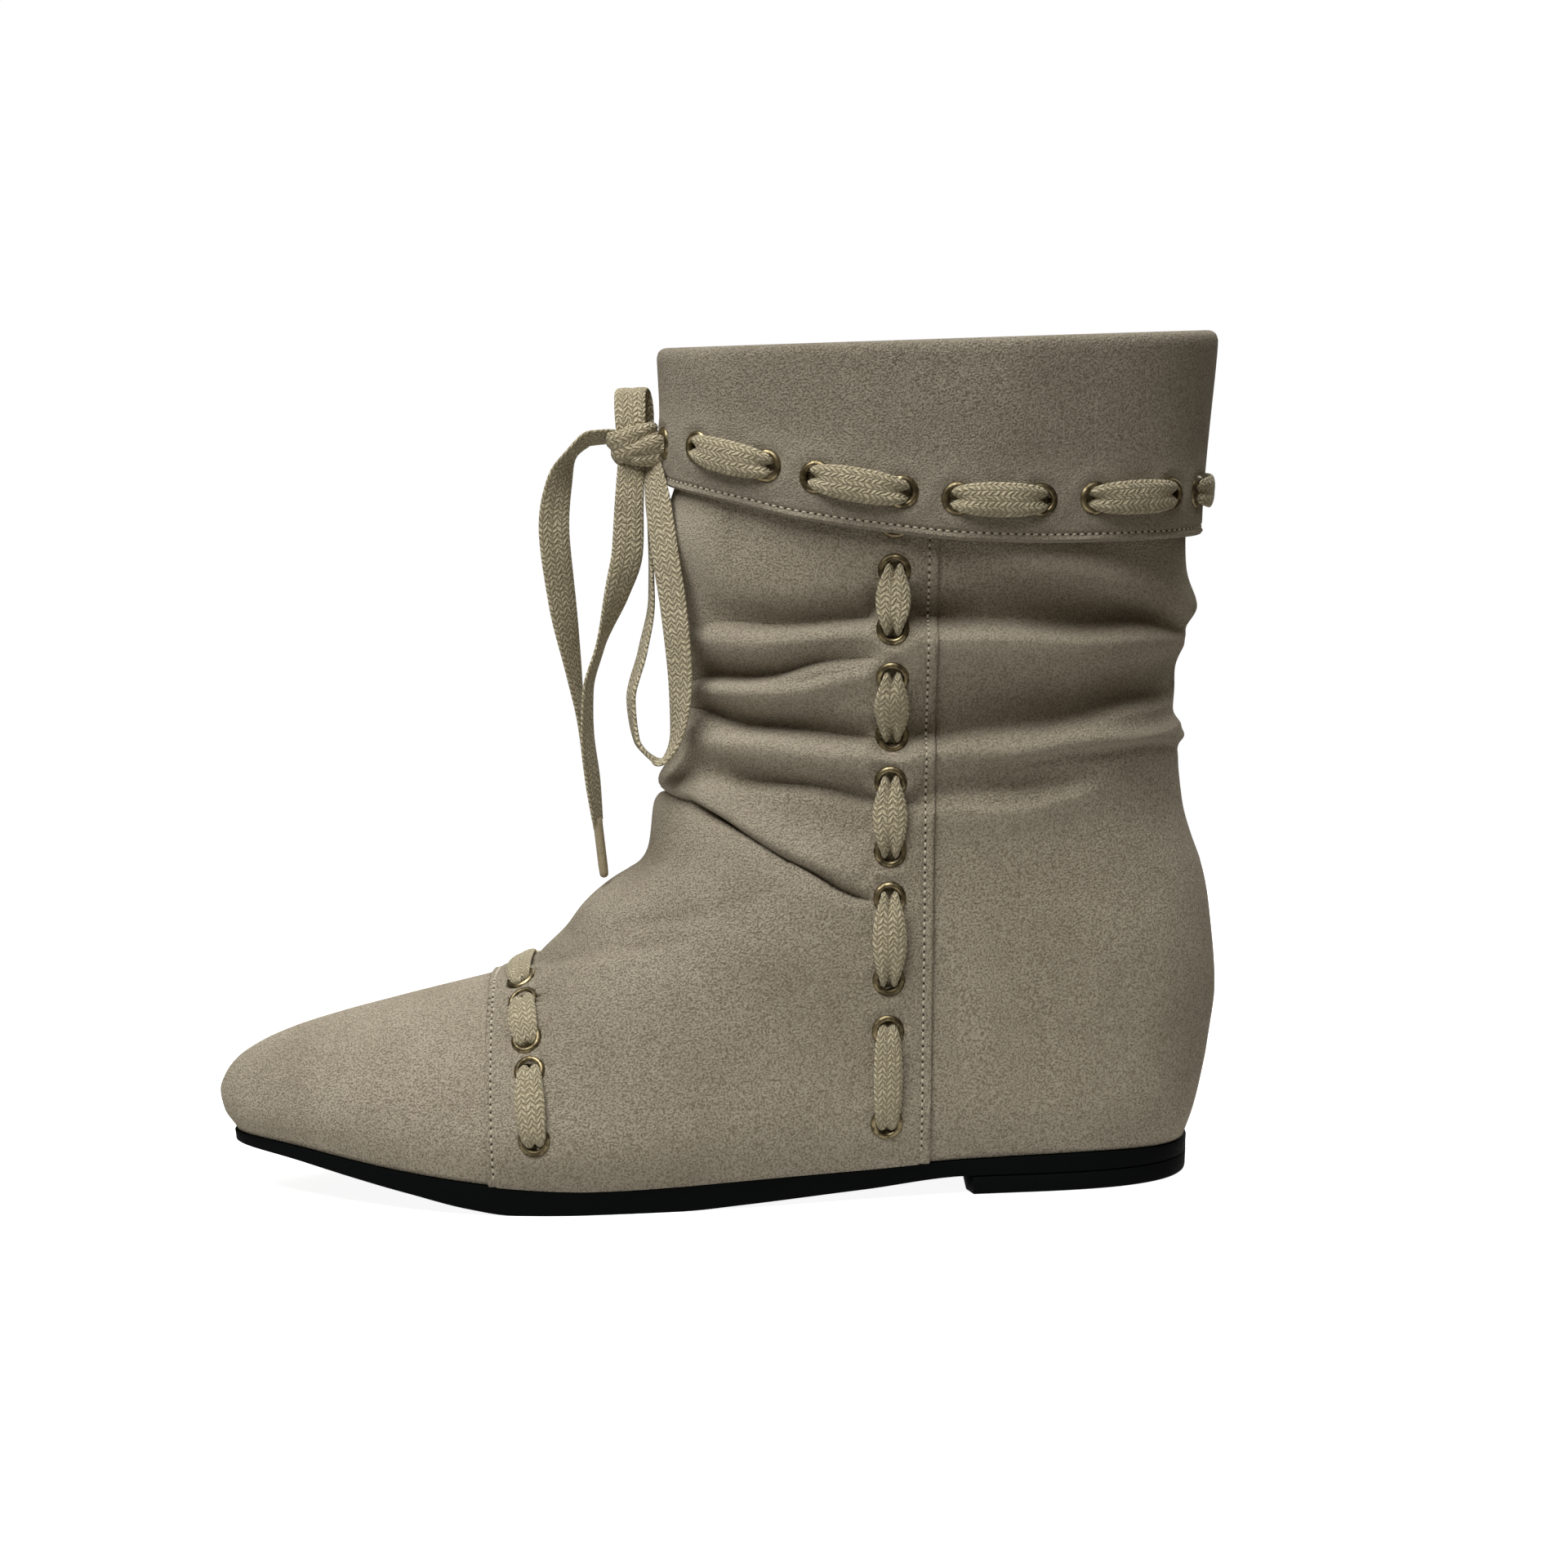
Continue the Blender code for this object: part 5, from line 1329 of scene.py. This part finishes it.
def make_upper(suede, lit_toe_suede, cut_edge, lining):
    """The upper as lapped panels over a lining, with the surface and the seats that its laces use."""
    levels = np.concatenate([np.arange(low, high, step) for low, high, step in LEVEL_STEPS] + [[COLLAR_Z]])
    grid, normals, folds = wall_grid(levels, FINE_COLUMNS)
    front = grid + normals * PANEL_LIFT
    tree = grid_tree(front)
    seats = {
        "side": seat_on(tree, cad_seats("side", SHAFT_MIDDLE_X)),
        "toe": seat_on(tree, cad_seats("toe", TOE_ROW_X, TOE_ROW_CENTRE_Z)),
    }
    every_seat = seats["side"] + seats["toe"]
    planes = seam_planes()
    panel = cut_panel("front_panel", press_flat(front, every_seat), folds, planes, every_seat)
    sew_edges(panel, [(*planes[0], TOE_STITCH_INSET), (*planes[1], SIDE_STITCH_INSET)])
    front_panel = add_piece("front_panel", panel, suede, "suede", "upper")
    corners = [vert.co for vert in panel.vertices]
    tree = BVHTree.FromPolygons(corners, [face.vertices[:] for face in panel.polygons])
    thicken(front_panel, PANEL_THICKNESS, cut_edge)
    for name, (point, inward), hide in zip(("toe_piece", "back_panel"), planes, (lit_toe_suede, suede)):
        under = cut_panel(name, grid, folds, [(point + inward * LAP, -inward)])
        thicken(add_piece(name, under, hide, "suede", "upper"), PANEL_THICKNESS, cut_edge)
    inner, inner_normals, _ = wall_grid(levels[::3], FINE_COLUMNS // 3)
    inner = inner - inner_normals * LINING_DEPTH
    inside = mesh_of_used("lining", inner, without_holes(inner, grid_faces(*inner.shape[:2]), every_seat))
    thicken(add_piece("lining_shell", inside, lining, "lining", "upper"), WALL - LINING_DEPTH, lining)
    return tree, seats


def ring_between(name, rings):
    """A closed mesh through outline rings from low to high, laddered across at both ends."""
    rows, count = np.shape(rings)[:2]
    faces = grid_faces(rows, count).tolist()
    half = count // 2
    for first, turned in ((0, True), ((rows - 1) * count, False)):
        cap = [[0, 1, count - 1]]
        cap += [[k, k + 1, count - k - 1, count - k] for k in range(1, half - 1)]
        cap.append([half - 1, half, half + 1])
        faces += [[first + corner for corner in (face[::-1] if turned else face)] for face in cap]
    return mesh_from(name, rings, faces)


def make_sole(rubber):
    """The outsole and the heel lift."""
    loop = wall_loop(FOOT_LEVEL, FINE_COLUMNS)
    rings = []
    for spread, share, lift in OUTSOLE_SIDE:
        flat = moved_out(loop, spread)
        low, high = sole_under(flat[:, 0]), sole_top(flat[:, 0]) - SEAT_GAP
        rings.append(np.column_stack([flat, low + (high - low) * share + lift]))
    add_piece("outsole_plate", ring_between("outsole", rings), rubber, "sole", "outsole")
    rings = []
    first = next(k for k in range(FINE_COLUMNS // 2) if loop[k, 0] > HEEL_BREAST_X + HEEL_CORNER)
    for spread, height in HEEL_SIDE:
        flat = moved_out(loop, spread)[first : FINE_COLUMNS - first + 1]
        breast = np.linspace(flat[-1], flat[0], BREAST_STEPS)[1:-1]
        breast[:, 0] = HEEL_BREAST_X - spread
        plan = np.concatenate([flat, breast])
        rings.append(np.column_stack([plan, np.full(len(plan), height)]))
    mesh = mesh_from("heel", rings, tube_faces(len(rings), len(plan)))
    add_piece("heel_block", mesh, rubber, "sole", "heel_lift")


def make_insole(lining):
    """The footbed on its hidden wedge, rounded at the edge."""
    along, sides = side_of_column(FINE_COLUMNS // 2)
    front, back = LAST[0].x, LAST[-1].x
    for _ in range(END_STEPS):
        front, back = float(front_at(insole_top(front))), float(back_at(insole_top(back)))
    x = between_ends(front, back, along)
    rings = []
    for inset, lift in INSOLE_SIDE:
        flat = moved_out(outline(x, insole_top(x), along, sides), -inset)
        heights = np.maximum(insole_top(flat[:, 0]) + lift, sole_top(flat[:, 0]))
        rings.append(np.column_stack([flat, heights]))
    add_piece("footbed", ring_between("footbed", rings), lining, "lining", "insole")


def make_floor():
    """A round white ground, bright enough to run into the white backdrop."""
    disc = bmesh.new()
    bmesh.ops.create_circle(disc, cap_ends=True, segments=FLOOR_SIDES, radius=FLOOR_RADIUS)
    mesh = bpy.data.meshes.new("floor")
    disc.to_mesh(mesh)
    disc.free()
    floor = bpy.data.objects.new("floor", mesh)
    white = Shader("white ground", roughness=0.9)
    white.colour(FLOOR_GREY)
    white.set(emission_color=WHITE, emission_strength=FLOOR_GLOW)
    mesh.materials.append(white.material)
    bpy.context.scene.collection.objects.link(floor)
    floor.visible_diffuse = False
    floor.visible_glossy = False
    floor.visible_shadow = False


def add_light(name, place, aim, size, power):
    """A soft square light of this size in metres, turned towards a point."""
    light = bpy.data.lights.new(name, "AREA")
    light.size = size
    light.energy = power
    add_aimed(name, light, place, aim)


def light_scene():
    """Soft studio light from above and the left, before a white backdrop."""
    scene = bpy.context.scene
    scene.view_settings.view_transform = "Standard"
    world = bpy.data.worlds.new("studio")
    world.use_nodes = True
    scene.world = world
    nodes, links = world.node_tree.nodes, world.node_tree.links
    seen, glow = nodes.new("ShaderNodeBackground"), nodes["Background"]
    seen.inputs["Color"].default_value = WHITE
    glow.inputs["Color"].default_value = GLOW_COLOUR
    glow.inputs["Strength"].default_value = WORLD_GLOW
    path, mix = nodes.new("ShaderNodeLightPath"), nodes.new("ShaderNodeMixShader")
    links.new(path.outputs["Is Camera Ray"], mix.inputs[0])
    links.new(glow.outputs[0], mix.inputs[1])
    links.new(seen.outputs[0], mix.inputs[2])
    links.new(mix.outputs[0], nodes["World Output"].inputs["Surface"])
    for lamp in LIGHTS:
        add_light(*lamp)


def main():
    make_camera()
    suede = suede_finish("suede", *SUEDE)
    lace = lace_finish("woven lace", *LACE)
    rubber = rubber_finish("black rubber")
    brass = brass_finish("antique brass", *BRASS)
    plain = {name: plain_finish(name, look) for name, look in PLAIN.items()}
    thread, pinhole_shade, lining = plain["thread"], plain["pinhole_shade"], plain["lining"]
    make_bow(lace, plain["aglet"])
    # The toe piece gets the lighter copy of the suede, a painted highlight.
    tree, seats = make_upper(suede, suede_finish("lit toe suede", *LIT_TOE_SUEDE), plain["cut suede"], lining)
    # The cuff gets the darker copy of the suede.
    turned = suede_finish("darker cuff suede", *DARKER_CUFF_SUEDE)
    cuff_tree, seats["cuff"] = make_cuff(turned, cad_seats("cuff", SHAFT_MIDDLE_X))
    sew_side_seams(tree, thread, pinhole_shade)
    sew_toe_seam(tree, thread, pinhole_shade)
    sew_hem(cuff_tree, thread, pinhole_shade)
    for row_name, row in seats.items():
        for k, seat in enumerate(row):
            make_eyelet(f"eyelet_{row_name}_{k + 1:02d}", seat, brass)
    make_lace("lace_cuff", cuff_tree, seats["cuff"], True, CUFF_WALL, lace, KNOT_TAILS)
    make_lace("lace_side", tree, seats["side"], True, WALL + PANEL_LIFT, lace)
    make_lace("lace_toe", tree, seats["toe"], False, WALL + PANEL_LIFT, lace)
    make_sole(rubber)
    make_insole(lining)
    make_floor()
    light_scene()


main()
